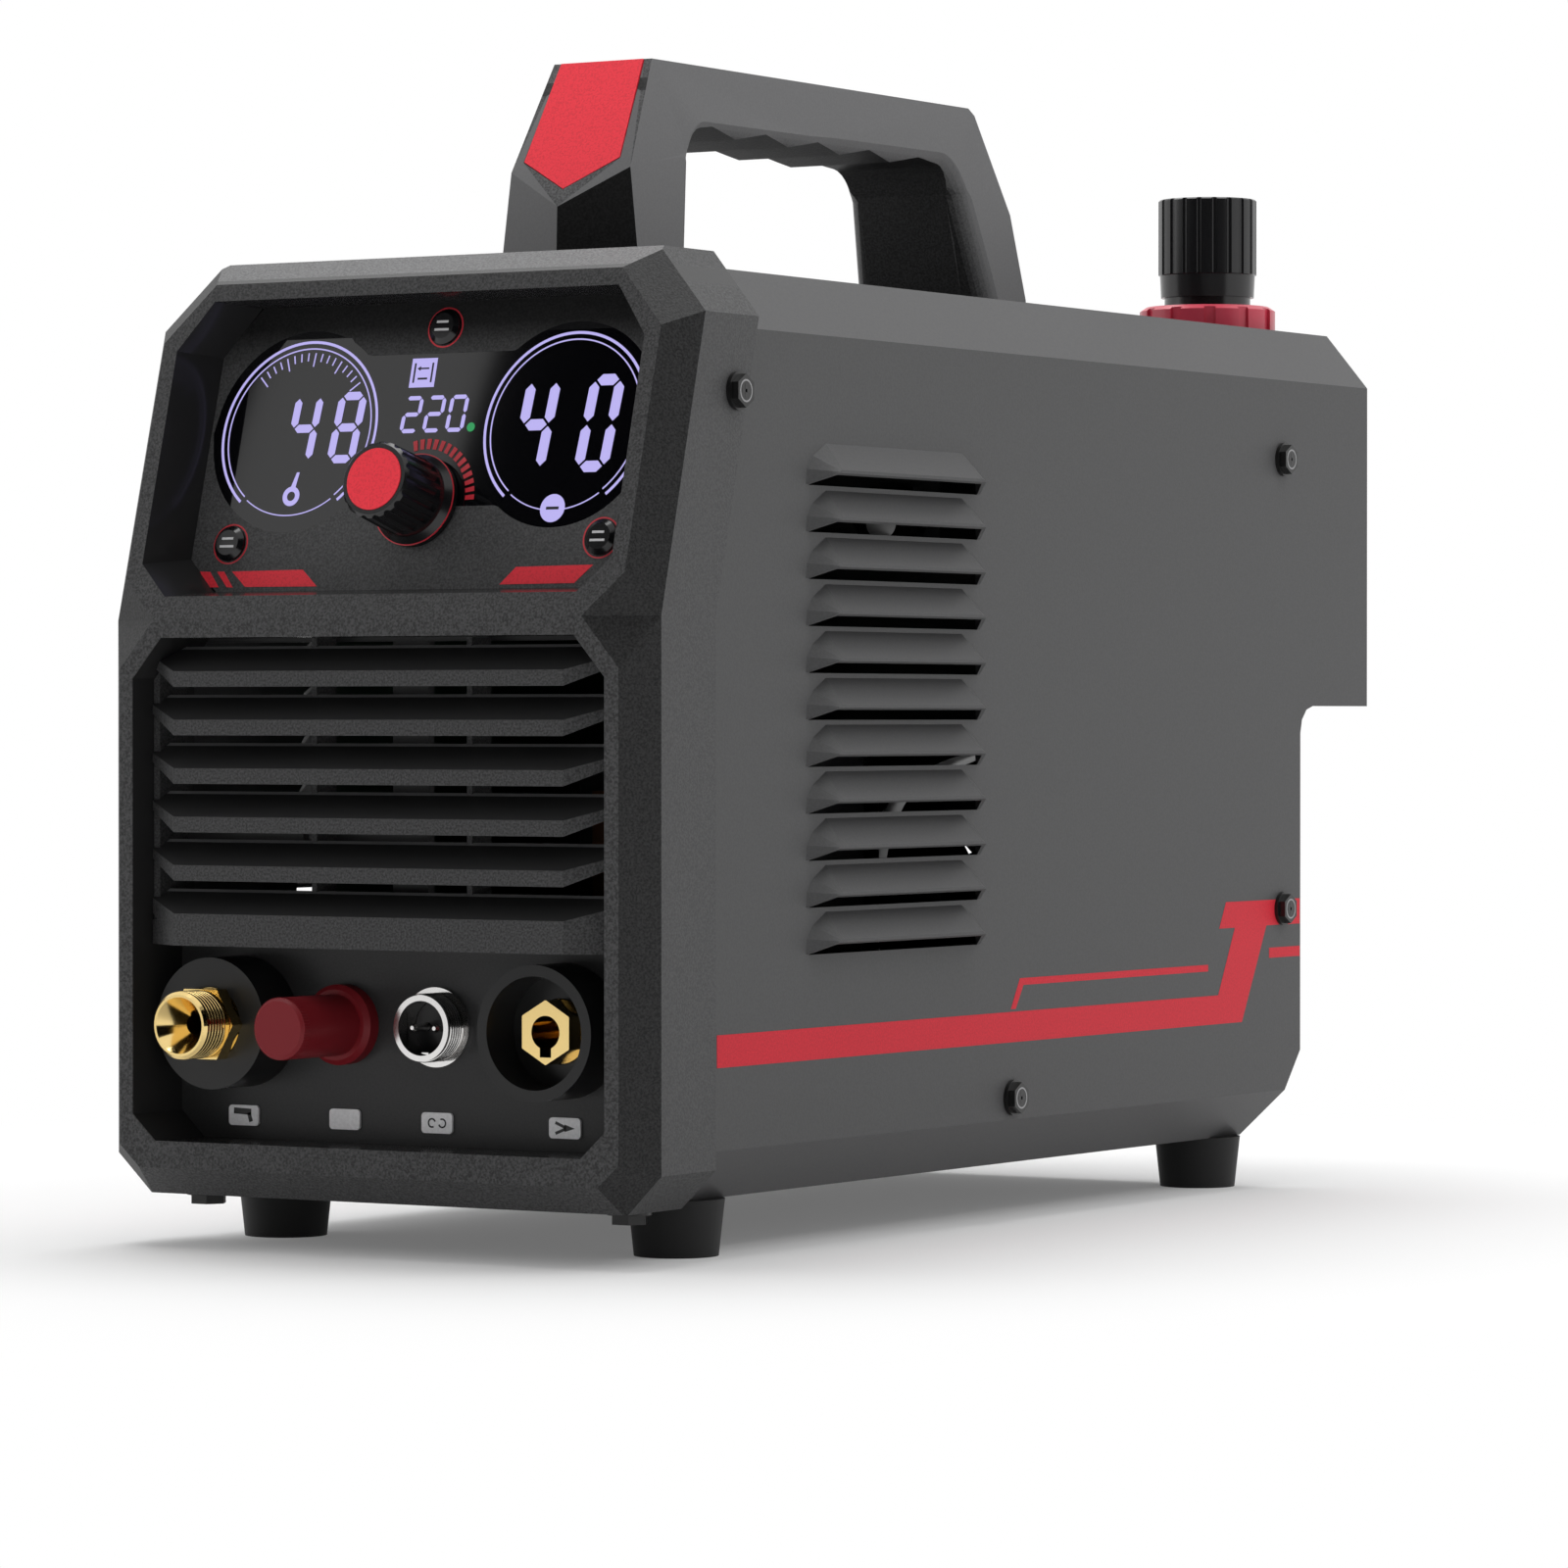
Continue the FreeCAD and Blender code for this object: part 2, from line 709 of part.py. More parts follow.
# socket panel: a flat plate with the air way behind the grille
plate = prism("plate", "XZ", D.panel_y, D.panel_y + D.panel_thick, [mirrored([
    (D.window_half - 3, inner_low + 2.5),
    (D.window_half + 4.5, inner_low + 10),
    (D.window_half + 4.5, D.window_top + 2.2),
])])
air_way = box("air_way", (-cheek + CHEEK_THICK, cheek - CHEEK_THICK),
              (D.panel_y - 1, D.panel_y + D.panel_thick + 1),
              (shelf_top, D.window_top - 1))
BOSS_HOLE = 12.2
COLLAR_HOLE = 5.6
SOCKETS = [(D.torch_x, BOSS_HOLE), (D.pilot_x, COLLAR_HOLE), (D.trigger_x, D.trigger_barrel + 0.1),
           (D.earth_x, BOSS_HOLE)]
socket_holes = prism("socket_holes", "XZ", D.panel_y - 1, D.panel_y + D.panel_thick + 1, (),
                     [(x, D.socket_z, radius) for x, radius in SOCKETS])
POST_HALF = 5.2
BAR_NOTCH = (-32, -25)
bar_z = (blade_first + blade_pitch * 0.7, blade_first + blade_pitch * 1.3)
behind = (D.panel_y, D.panel_y + D.panel_thick)
bars = [
    box("air_post", (-POST_HALF, POST_HALF), behind, (shelf_top - 1, D.window_top)),
    box("air_bar_left", (-cheek, BAR_NOTCH[0]), behind, bar_z),
    box("air_bar_right", (BAR_NOTCH[1], POST_HALF), behind, bar_z),
]
drilled_plate = cut("plate_cut", plate, [air_way, socket_holes])
piece("socket_panel", fuse("socket_panel_whole", [drilled_plate] + bars))

# sockets, each along its own axis: z looks out of the panel
def at_socket(name, thing, x):
    piece(name, thing, "front", x, D.panel_y, D.socket_z)


PANEL_BACK = -D.panel_thick
BOSS_SHANK = 12
TORCH_FRONT = 14.2
TORCH_HEX = 17
TORCH_HEX_FRONT = TORCH_FRONT + 4
TORCH_LEAD = 26.1
GAS_WAY = 2.4
at_socket("torch_socket_housing", turned(
    "torch_housing", [(0, TORCH_FRONT, D.torch_boss), (-20, 0, BOSS_SHANK)],
    [(-21, TORCH_FRONT + 1, 9)]), D.torch_x)
torch_solid = fuse("torch_solid", [
    rod("torch_shank", -24, TORCH_FRONT, 8.8),
    hexagon("torch_hex", TORCH_FRONT, TORCH_HEX_FRONT, TORCH_HEX),
    rod("torch_thread_form", TORCH_HEX_FRONT, TORCH_LEAD, D.torch_thread),
    cone("torch_thread_lead", TORCH_LEAD, TORCH_LEAD + 0.7, D.torch_thread, D.torch_thread - 0.7),
    rod("torch_tail", -36, -24, 5),
])
at_socket("torch_socket_fitting", cut("torch_fitting", torch_solid, [
    rod("torch_gas_way", -37, 27, GAS_WAY),
    cone("torch_seat", 20.5, 27, GAS_WAY, 7),
]), D.torch_x)

at_socket("pilot_post_collar", turned(
    "pilot_collar", [(0, 3.4, 9.8), (3.4, 4.6, (9.8, 8.6)), (-10, 0, 5.5)], [(-11, 5, 3.1)]),
          D.pilot_x)
at_socket("pilot_post_stud", turned("pilot_stud", [(-18, 24, 3)]), D.pilot_x)
pilot_front = D.panel_y + D.reach
at_socket("pilot_post_cap", turned(
    "pilot_cap",
    [(4.8, pilot_front - 0.8, D.pilot_radius),
     (pilot_front - 0.8, pilot_front, (D.pilot_radius, D.pilot_radius - 0.8))],
    [(4, pilot_front - 2.9, 3.08)]), D.pilot_x)

barrel = D.trigger_barrel
shell = turned("trigger_shell_form",
               [(0, 1.2, 9.65), (1.2, 7.3, barrel), (-14, 0, barrel - 0.1)],
               [(-15, 8, barrel - 1.4)])
key = box("trigger_key", (-1, 1), (-barrel + 1, -barrel + 2.1), (-4, 5.5))
at_socket("trigger_socket_shell", fuse("trigger_shell", [shell, key]), D.trigger_x)
PIN_X = 3.2
insert_cut = [rod("insert_pin_way", -13, 1, 1.1, x) for x in (-PIN_X, PIN_X)]
insert_cut.append(box("insert_key_way", (-1.2, 1.2), (-barrel, -barrel + 2.3), (-13, 1)))
at_socket("trigger_socket_insert", cut(
    "trigger_insert", rod("trigger_insert_form", -12, 0, barrel - 1.5), insert_cut), D.trigger_x)
pins = [turned(f"trigger_pin_{k}", [(-18, 5.6, 1), (5.6, 6.4, (1, 0.5))]) for k in range(2)]
for pin, x in zip(pins, (-PIN_X, PIN_X)):
    stand(pin, "up", x, 0, 0)
at_socket("trigger_socket_pins", group("trigger_pins", pins), D.trigger_x)
at_socket("trigger_socket_nut", cut(
    "trigger_nut", hexagon("trigger_nut_form", PANEL_BACK - 3, PANEL_BACK, 20),
    [rod("trigger_nut_bore", -7, 0, barrel)]), D.trigger_x)

EARTH_FRONT = 13.8
at_socket("earth_socket_housing", turned(
    "earth_housing", [(0, EARTH_FRONT, 16.2), (-14, 0, BOSS_SHANK)],
    [(2.4, EARTH_FRONT + 1, 13.5), (-15, 3, 7.9)]), D.earth_x)
earth_ways = [rod("earth_plug_way", -21, 10, D.earth_bore),
              box("earth_key_way", (-1.6, 1.6), (-5.9, 0), (-8, 10))]
CONTACT_RADIUS = 7.65
CONTACT_FLAT = 6.7
flat_run = CONTACT_FLAT * math.tan(math.radians(30))
contact_head = prism("contact_flats", "XY", 2.4, 8.8, [[
    (0, -flat_run * 2),
    (CONTACT_FLAT, -flat_run),
    (CONTACT_FLAT, flat_run),
    (0, flat_run * 2),
    (-CONTACT_FLAT, flat_run),
    (-CONTACT_FLAT, -flat_run),
]])
contact_form = fuse("contact_form", [
    common("contact_head", [contact_head, rod("contact_round", 2.3, 8.9, CONTACT_RADIUS)]),
    rod("contact_shank", -20, 2.4, CONTACT_RADIUS),
    rod("contact_tail", -34, -20, 5),
])
at_socket("earth_socket_contact", cut("earth_contact", contact_form, earth_ways), D.earth_x)
BOSS_NUT = 30
boss_nuts = []
for x in (D.torch_x, D.earth_x):
    nut = cut("boss_nut", hexagon("boss_nut_form", PANEL_BACK - 5, PANEL_BACK, BOSS_NUT),
              [rod("boss_nut_bore", PANEL_BACK - 6, 0, BOSS_SHANK + 0.1)])
    boss_nuts.append(stand(nut, "front", x, D.panel_y, D.socket_z))
piece("socket_nuts", group("socket_nut_pair", boss_nuts))
LABEL_DROP = 23.1
LABEL_HALF = (4.5, 2.5)
LABEL_CORNER = 0.9
LABEL_THICK = 0.6
label_z = D.socket_z - LABEL_DROP
labels = []
for x, hole in SOCKETS:
    outline = [(x + a * LABEL_HALF[0], label_z + b * LABEL_HALF[1])
               for a, b in ((-1, -1), (1, -1), (1, 1), (-1, 1))]
    labels.append(prism("label", "XZ", D.panel_y - LABEL_THICK, D.panel_y,
                        [rounded(outline, LABEL_CORNER)]))
piece("socket_plates", group("socket_plate_group", labels))

# display face, in the frame of the slope
GLASS = 1.5
CARRIER = 2
glass_front = -D.display_depth
carrier_front = glass_front - GLASS
carrier_back = carrier_front - CARRIER
buttons = [(0, D.button_top_s), (-D.button_side_x, D.button_low_s), (D.button_side_x, D.button_low_s)]
face_outline = mirrored([
    (D.display_half + 2, back_low - 4),
    (D.display_half + 2, back_top - 8.5),
    (D.display_end, back_top + 2.2),
])
button_way = D.button_radius + 0.35
BUSH = 4.5
face_holes = [(x, s, button_way) for x, s in buttons] + [(0, D.knob_s, BUSH + 0.1)]
on_slope("display_glass", prism("glass", "XY", carrier_front, glass_front, [face_outline], face_holes))
carrier = prism("carrier", "XY", carrier_back, carrier_front, [face_outline], face_holes)
BOARD_GAP = 7
board_front = carrier_back - BOARD_GAP
posts = [rod("carrier_post", board_front, carrier_back + 0.5, 3, x, s)
         for x, s in ((6.7 - D.display_half, 36), (D.display_half - 6.7, 36), (-44, 74), (44, 74))]
on_slope("display_panel", fuse("display_carrier", [carrier] + posts))
board_half = D.display_half - 2.7
BOARD = 1.6
CHIP = (9, 5, 2.4)
board_back = board_front - BOARD
board = box("board", (-board_half, board_half), (back_low + 4, back_top - 0.5), (board_back, board_front))
chips = [box("chip", (x - CHIP[0], x + CHIP[0]), (s - CHIP[1], s + CHIP[1]),
             (board_back - CHIP[2], board_back))
         for x, s in ((-30, 30), (30, 30), (0, 60))]
on_slope("display_board", fuse("display_board_whole", [board] + chips))
SWITCH = 3.5
SWITCH_HALF = 3
stem_top = board_front + SWITCH + 0.8
switches = []
for x, s in buttons:
    switch_body = box("switch_body", (x - SWITCH_HALF, x + SWITCH_HALF),
                      (s - SWITCH_HALF, s + SWITCH_HALF), (board_front, board_front + SWITCH))
    stem = rod("switch_stem", board_front + SWITCH - 0.5, stem_top, 1.7, x, s)
    switches.append(fuse("switch", [switch_body, stem]))
on_slope("button_switches", group("button_switch_group", switches))
TRAVEL = 1
SHOULDER = 1.2
button_rim = glass_front + 0.8
for name, (x, s) in zip(("button_top", "button_left", "button_right"), buttons):
    crown = turned(f"{name}_form", [
        (carrier_back - SHOULDER, carrier_back, D.button_radius + SHOULDER),
        (carrier_back, button_rim, D.button_radius),
        (button_rim, button_rim + 0.9, (D.button_radius, D.button_radius - 1.2)),
        (stem_top + TRAVEL, carrier_back - SHOULDER, 1.5),
    ])
    holder = group(f"{name}_whole", [crown])
    stand(crown, "up", x, s, 0)
    on_slope(name, holder)


def on_knob_axis(name, thing):
    stand(thing, "up", 0, D.knob_s, 0)
    on_slope(name, group(f"{name}_whole", [thing]))


SHAFT = 3
SHAFT_TOP = -2
encoder_case = fuse("encoder_solid", [
    box("encoder_case", (-7, 7), (-7, 7), (board_front, carrier_back)),
    rod("encoder_bush", carrier_back, glass_front + 3, BUSH),
])
on_knob_axis("encoder_body", cut("encoder_form", encoder_case, [
    rod("encoder_way", board_front + 1, glass_front + 4, SHAFT + 0.06)]))
on_knob_axis("encoder_nut", cut(
    "encoder_nut_form", hexagon("encoder_nut_hex", glass_front, glass_front + 2, 11),
    [rod("encoder_nut_bore", glass_front - 1, glass_front + 3, BUSH + 0.02)]))
on_knob_axis("encoder_shaft", turned("encoder_shaft_form", [(board_front + 1.2, SHAFT_TOP, SHAFT)]))

# control knob: a fluted cylinder over a wider skirt
SKIRT = 1.9
knob_low = glass_front + 0.5
knob_high = knob_low + D.knob_length
knob = doc.addObject("PartDesign::Body", "knob_form")
profile = body_sketch(knob, "XZ_Plane", [[
    (0, knob_low + 4.5),
    (D.knob_radius - 1.6, knob_low + 4.5),
    (D.knob_radius - 1.2, knob_low),
    (D.knob_radius + SKIRT, knob_low),
    (D.knob_radius + SKIRT, knob_low + 1.8),
    (D.knob_radius + 0.3, knob_low + 3.4),
    (D.knob_radius, knob_high - 0.8),
    (D.knob_radius - 0.8, knob_high),
    (0, knob_high),
]])
turn = knob.newObject("PartDesign::Revolution", "knob_turned")
turn.Profile = profile
turn.ReferenceAxis = (profile, ["V_Axis"])
turn.Angle = 360
flute = body_sketch(knob, "XY_Plane", circles=[(D.knob_radius + 0.75, 0, 1.25)], offset=knob_high + 1)
flute_cut = extrude(knob, "Pocket", flute, D.knob_length - 4)
around = knob.newObject("PartDesign::PolarPattern", "knob_flutes")
around.Originals = [flute_cut]
around.Axis = (origin_part(knob, "Z_Axis"), [""])
around.Angle = 360
around.Occurrences = 18
knob.Tip = around
CAP = 7.7
CAP_SEAT = 1
on_knob_axis("control_knob", cut("knob_bored", knob, [
    rod("knob_shaft_way", knob_low + 1, SHAFT_TOP + 0.1, SHAFT + 0.02),
    rod("knob_cap_seat", knob_high - CAP_SEAT, knob_high + 1, CAP + 0.1)]))
on_knob_axis("knob_cap", turned("knob_cap_form", [(knob_high - CAP_SEAT, knob_high + 0.2, CAP)]))

# cover: one bent sheet with louvres and a rear hood
cover = doc.addObject("PartDesign::Body", "cover_form")
fold = D.sheet * OFFSET_SHARE
section = [
    (D.cover_hem_x, D.cover_hem_z),
    (D.cover_half, D.cover_bend),
    (D.cover_half, D.cover_corner),
    (D.cover_flat, D.cover_top),
    (-D.cover_flat, D.cover_top),
    (-D.cover_half, D.cover_corner),
    (-D.cover_half, D.cover_bend),
    (-D.cover_hem_x, D.cover_hem_z),
    (-D.cover_hem_x + D.sheet * 0.75, D.cover_hem_z + D.sheet * 0.66),
    (-D.cover_half + D.sheet, D.cover_bend + fold),
    (-D.cover_half + D.sheet, D.cover_corner - fold),
    (-D.cover_flat + fold, D.cover_top - D.sheet),
    (D.cover_flat - fold, D.cover_top - D.sheet),
    (D.cover_half - D.sheet, D.cover_corner - fold),
    (D.cover_half - D.sheet, D.cover_bend + fold),
    (D.cover_hem_x - D.sheet * 0.75, D.cover_hem_z + D.sheet * 0.66),
]
cover_front = D.bezel_depth - D.tuck
wall = body_sketch(cover, "XZ_Plane", [section], offset=-cover_front)
extrude(cover, "Pad", wall, D.hood_rear - cover_front, back=True)
front_waste = [
    (cover_front - 1, D.waist),
    (cover_front, D.waist),
    (cover_front + rim_y(D.top), D.top),
    (cover_front - 1, D.top),
]
HEM_REST = 18
hem_waste = [
    (cover_front - 1, D.cover_hem_z - 1),
    (D.bezel_depth + SLIM, D.cover_hem_z - 1),
    (D.bezel_depth + SLIM, HEM_REST),
    (cover_front - 1, HEM_REST),
]
bend_centre = (D.body_rear + D.hood_radius, D.hood_low - D.hood_radius)
bend_points = [(bend_centre[0] + D.hood_radius * math.cos(math.radians(a)),
                bend_centre[1] + D.hood_radius * math.sin(math.radians(a)))
               for a in (180, 150, 120, 90)]
rear_waste = bend_points + [
    (D.hood_rear + 1, D.hood_low),
    (D.hood_rear + 1, D.cover_hem_z - 1),
    (D.body_rear - 15.5, D.cover_hem_z - 1),
    (D.body_rear - 9.3, D.cover_bend),
    (D.body_rear, D.cover_bend + 10.7),
]
waste = body_sketch(cover, "YZ_Plane", [front_waste, hem_waste, rear_waste])
extrude(cover, "Pocket", waste, D.half_width * 3, both=True)
SIDE_SCREWS = [
    (bezel_screw_y, bezel_screw_z),
    (D.rear_y + 3.2, D.cover_corner - 21.9),
    (D.rear_y + 2.9, as_length(76.5)),
    (as_length(178.3), D.cover_hem_z + 18.1),
]
drilled = body_sketch(cover, "YZ_Plane", circles=[(y, z, M4_HOLE) for y, z in SIDE_SCREWS])
extrude(cover, "Pocket", drilled, D.half_width * 3, both=True)
HANDLE_BOLTS = (98, 271.5)
NECK_HOLE = 12.4
top_holes = body_sketch(cover, "XY_Plane", circles=[
    (D.regulator_x, D.regulator_y, NECK_HOLE), (0, HANDLE_BOLTS[0], 2.6), (0, HANDLE_BOLTS[1], 2.6)],
    offset=D.cover_top + 1)
extrude(cover, "Pocket", top_holes, 10)


def louvre_section(out, half):
    """One side of the louvre's outline at a distance out from the cover, mirrored about its middle."""
    spots = [(D.louvre_y + y, D.louvre_top + z) for y, z in half]
    spots += [(D.louvre_y - y, D.louvre_top + z) for y, z in reversed(half)]
    return body_sketch(cover, "YZ_Plane", [spots], offset=D.cover_half + out)


def louvre_loft(kind, inner, outer):
    step = cover.newObject(f"PartDesign::{kind}", f"louvre_{kind}")
    step.Profile = inner
    step.Sections = [outer]
    step.Ruled = True
    return step


# each louvre is a scoop with its mouth downwards, its ends drawn in to a narrower lip
LIP_LOW = -7.35
MOUTH_LOW = -10.3
ROOT = 0.6
LIP_THICK = 0.9
scoop = louvre_loft(
    "AdditiveLoft",
    louvre_section(-ROOT, [(32.9, 0.7), (39.5, -2.8), (42.5, -6.4), (43, MOUTH_LOW - 0.2)]),
    louvre_section(D.louvre_proud, [(34, LIP_LOW + 0.75), (34.8, LIP_LOW + 0.6),
                                    (35.5, LIP_LOW + 0.35), (36, LIP_LOW)]))
scoop_hollow = louvre_loft(
    "SubtractiveLoft",
    louvre_section(-D.sheet - SLIM, [(32.3, 0.25), (38.8, -3.3), (42, -6.8), (42.5, MOUTH_LOW)]),
    louvre_section(D.louvre_proud - LIP_THICK, [(33.3, LIP_LOW + 0.4), (34.2, LIP_LOW + 0.2),
                                                (35.1, LIP_LOW), (35.6, MOUTH_LOW)]))
rows = cover.newObject("PartDesign::MultiTransform", "louvre_rows")
rows.Originals = [scoop, scoop_hollow]
down = cover.newObject("PartDesign::LinearPattern", "louvre_column")
down.Direction = (origin_part(cover, "Z_Axis"), [""])
down.Reversed = True
down.Mode = "Spacing"
bind(down, "Offset", D.louvre_pitch)
down.Occurrences = SIZES["louvre_count"]
down.setExpression("Occurrences", "Sizes.louvre_count")
across = cover.newObject("PartDesign::Mirrored", "louvre_sides")
across.MirrorPlane = (origin_part(cover, "YZ_Plane"), [""])
rows.Transformations = [down, across]
cover.Tip = rows
piece("top_cover", cover)

# base tray
tray_front = D.bezel_depth + SLIM * 2
tray_back = D.rear_y - D.rear_thick - SLIM
tray_side = D.cover_half - D.sheet - 0.3
FLANGE_TOP = 42
tray = prism("tray", "XZ", tray_front, tray_back, [mirrored([
    (D.cover_hem_x - 1.8, D.cover_hem_z),
    (tray_side, D.cover_bend + 0.6),
    (tray_side, FLANGE_TOP),
    (tray_side - D.tray_thick, FLANGE_TOP),
    (tray_side - D.tray_thick, D.cover_bend + 1.2),
    (D.cover_hem_x - 2.5, D.cover_hem_z + D.tray_thick),
])])
tongue_low = inner_low + SLIM
tongue_half = D.half_width - FRONT_BOLT_INSET + 2
tongue = box("tongue", (-tongue_half, tongue_half), (13, tray_front + 4),
             (tongue_low, tongue_low + D.tray_thick))
feet_at = [(x, y) for x in (-D.foot_x, D.foot_x) for y in (D.foot_front_y, D.foot_rear_y)]
tray_holes = [rod("tray_foot_hole", D.cover_hem_z - 1, D.cover_hem_z + 4, 2.2, x, y)
              for x, y in feet_at]
tray_holes += [rod("tongue_hole", D.bottom, D.bottom + 8, 2.55, x, y) for x, y in front_bolts_at]
screw_way = rod("tray_side_hole", 0, D.half_width * 2 + 2, M4_HOLE)
tray_holes.append(stand(screw_way, "right", -D.half_width - 1, *SIDE_SCREWS[3]))
piece("base_tray", cut("tray_cut", fuse("tray_whole", [tray, tongue]), tray_holes))

# rear panel with its side flanges
rear_front = D.rear_y - D.rear_thick
plate_low = D.cover_hem_z + D.tray_thick + SLIM
rear_sheet = prism("rear_sheet", "XZ", rear_front, D.rear_y, [mirrored([
    (D.cover_hem_x - 2, plate_low),
    (tray_side, D.cover_bend + 2),
    (tray_side, D.cover_corner - 1),
    (D.cover_flat - 1, D.cover_top - D.sheet - SLIM),
])])
FLANGE_DEPTH = 11
FLANGE_LOW = 50
flanges = [box("rear_flange", (x, x + D.tray_thick), (rear_front, D.rear_y + FLANGE_DEPTH),
               (FLANGE_LOW, D.cover_corner - 10.5))
           for x in (-tray_side, tray_side - D.tray_thick)]
GLAND_INSET = 32
INLET_Z = 185
GLAND = (GLAND_INSET - D.cover_half, INLET_Z)
SWITCH_AT = (-8, INLET_Z)
SWITCH_CASE = (10, 15)
GLAND_HOLE = 8.2
FEED_DROP = 27.7
FEED = (D.regulator_x, D.cover_top - FEED_DROP)
rear_holes = [prism("rear_round_holes", "XZ", rear_front - 1, D.rear_y + 1, (), [
    (0, D.fan_z, D.fan_bore), (GLAND[0], GLAND[1], GLAND_HOLE), (FEED[0], FEED[1], 5.3)])]
switch_hole = [(centre - half - SLIM, centre + half + SLIM) for centre, half in zip(SWITCH_AT, SWITCH_CASE)]
rear_holes.append(box("rear_switch_hole", switch_hole[0], (rear_front - 1, D.rear_y + 1), switch_hole[1]))
FAN_SCREW = 41
for y, z in SIDE_SCREWS[1:3]:
    way = rod("rear_side_hole", 0, D.half_width * 2 + 2, M4_HOLE)
    rear_holes.append(stand(way, "right", -D.half_width - 1, y, z))
fan_spots = [(x, z) for x in (-FAN_SCREW, FAN_SCREW) for z in (-FAN_SCREW, FAN_SCREW)]
for x, z in fan_spots:
    way = rod("rear_fan_hole", 0, 10, M4_HOLE)
    rear_holes.append(stand(way, "front", x, D.rear_y + 5, D.fan_z + z))
piece("rear_panel", cut("rear_cut", fuse("rear_whole", [rear_sheet] + flanges), rear_holes))

# fan, its z axis looks to the front and starts at the outer face of the rear panel
def on_fan(name, thing):
    piece(name, thing, "front", 0, D.rear_y, D.fan_z)


FAN_DEPTH = 25
HUB = 17
SPINDLE = 2
ARM_HALF = 2
fan_back = D.rear_thick
fan_front = fan_back + FAN_DEPTH
frame_form = box("fan_case", (-D.fan_half, D.fan_half), (-D.fan_half, D.fan_half), (fan_back, fan_front))
frame_way = [rod("fan_way", fan_back - 1, fan_front + 1, D.fan_bore)]
frame_way += [rod("fan_screw_way", fan_back - 1, fan_front + 1, M4_HOLE, x, z) for x, z in fan_spots]
arm_spans = [(-ARM_HALF, ARM_HALF), (-D.fan_half + 1, D.fan_half - 1)]
arms = [box("fan_arm", across, up, (fan_back, fan_back + 3))
        for across, up in (arm_spans, arm_spans[::-1])]
arms.append(rod("fan_hub", fan_back, fan_back + 4, HUB))
fan_whole = fuse("fan_whole", [cut("fan_open", frame_form, frame_way)] + arms)
on_fan("fan_frame", cut("fan_bored", fan_whole, [rod("fan_bearing", 0, fan_front, SPINDLE + 0.06)]))
hub_low = fan_back + 5
hub_high = fan_front - 1.5
FAN_BLADES = 7
BLADE_TILT = 38
blades = []
for number in range(FAN_BLADES):
    blade = box("fan_blade", (HUB - 2, D.fan_bore - 2.5), (-7.5, 7.5), (-0.7, 0.7))
    holder = group("fan_blade_holder", [blade])
    tilt = Rotation(Vector(0, 0, 1), number * 360 / FAN_BLADES) * Rotation(Vector(1, 0, 0), BLADE_TILT)
    holder.Placement = Placement(Vector(0, 0, 0), tilt)
    bind(holder, "Placement.Base.z", (hub_low + hub_high) / 2)
    blades.append(holder)
on_fan("fan_rotor", fuse("fan_rotor_whole", blades + [
    rod("rotor_hub", hub_low, hub_high, HUB),
    rod("rotor_shaft", fan_back + 0.2, hub_low + 1, SPINDLE)]))
WIRE = 1.2
GUARD_REACH = FAN_SCREW * math.sqrt(2) - 4.2
guard = []
for radius in (12, 22, 32, 42):
    hoop = doc.addObject("Part::Torus", "guard_hoop")
    hoop.Radius1 = radius
    hoop.Radius2 = WIRE
    bind(hoop, "Placement.Base.z", -WIRE * 2.5)
    guard.append(hoop)
for x, z in fan_spots:
    eye = turned("guard_eye", [(-1.6, 0, 4.6)], [(-2, 1, 2.2)])
    guard.append(stand(eye, "up", x, z, 0))
for angle in (45, 135):
    bar = rod("guard_bar", -GUARD_REACH, GUARD_REACH, WIRE)
    frame_bar = group("guard_bar_holder", [bar])
    tilt = Rotation(Vector(0, 0, 1), angle) * Rotation(Vector(0, 1, 0), 90)
    frame_bar.Placement = Placement(Vector(0, 0, -WIRE * 1.2), tilt)
    guard.append(frame_bar)
on_fan("fan_guard", fuse("guard_whole", guard))


def bolt(name, grip, shank, head, height, flats=None):
    """A screw with its head above z = 0 and its shank below."""
    top = hexagon(f"{name}_head", 0, height, flats) if flats else rod(f"{name}_head", 0, height, head)
    parts = [top, rod(f"{name}_shank", -as_length(grip), 0.1, shank)]
    if flats:
        parts.append(rod(f"{name}_flange", 0, 1, head))
    return fuse(name, parts)


def bolt_group(name, sizes, spots):
    """Like screws in one node, each spot its frame and the place of its head's underside."""
    made = [stand(bolt(f"{name}_one", *sizes), frame, x, y, z) for frame, x, y, z in spots]
    return group(f"{name}_all", made)


side_spots = []
for index, (y, z) in enumerate(SIDE_SCREWS):
    surface = D.half_width if index == 0 else D.cover_half
    side_spots.append(("right", surface, y, z))
    side_spots.append(("left", -surface, y, z))
SIDE_SCREW = (8, 2, 4.6, 2.8, 7)
FRONT_BOLT = (4.7, 2.5, 5.4, 3.2, 8)
FOOT_SCREW = (12, 2, 4.2, 2.6)
HANDLE_BOLT = (22, 2.3, 5, 3, 8)
FOOT_SEAT = 6
piece("side_screws", bolt_group("side_screw", SIDE_SCREW, side_spots))
piece("front_bolts", bolt_group("front_bolt", FRONT_BOLT, [
    ("down", x, y, D.bottom) for x, y in front_bolts_at]))
for (side, end), (x, y) in zip(
        [(side, end) for side in ("left", "right") for end in ("front", "rear")], feet_at):
    name = f"foot_{end}_{side}"
    rubber = turned(f"{name}_form", [
        (0, D.cover_hem_z, (D.foot_radius, D.foot_radius + 1.5))],
        [(-1, FOOT_SEAT, 5), (FOOT_SEAT - 1, D.cover_hem_z + 1, 2.3)])
    piece(name, rubber, "up", x, y, 0)
piece("foot_screws", bolt_group("foot_screw", FOOT_SCREW, [
    ("down", x, y, FOOT_SEAT) for x, y in feet_at]))
HEAD_OUT = 3.8
GUARD_EYE = 1.6
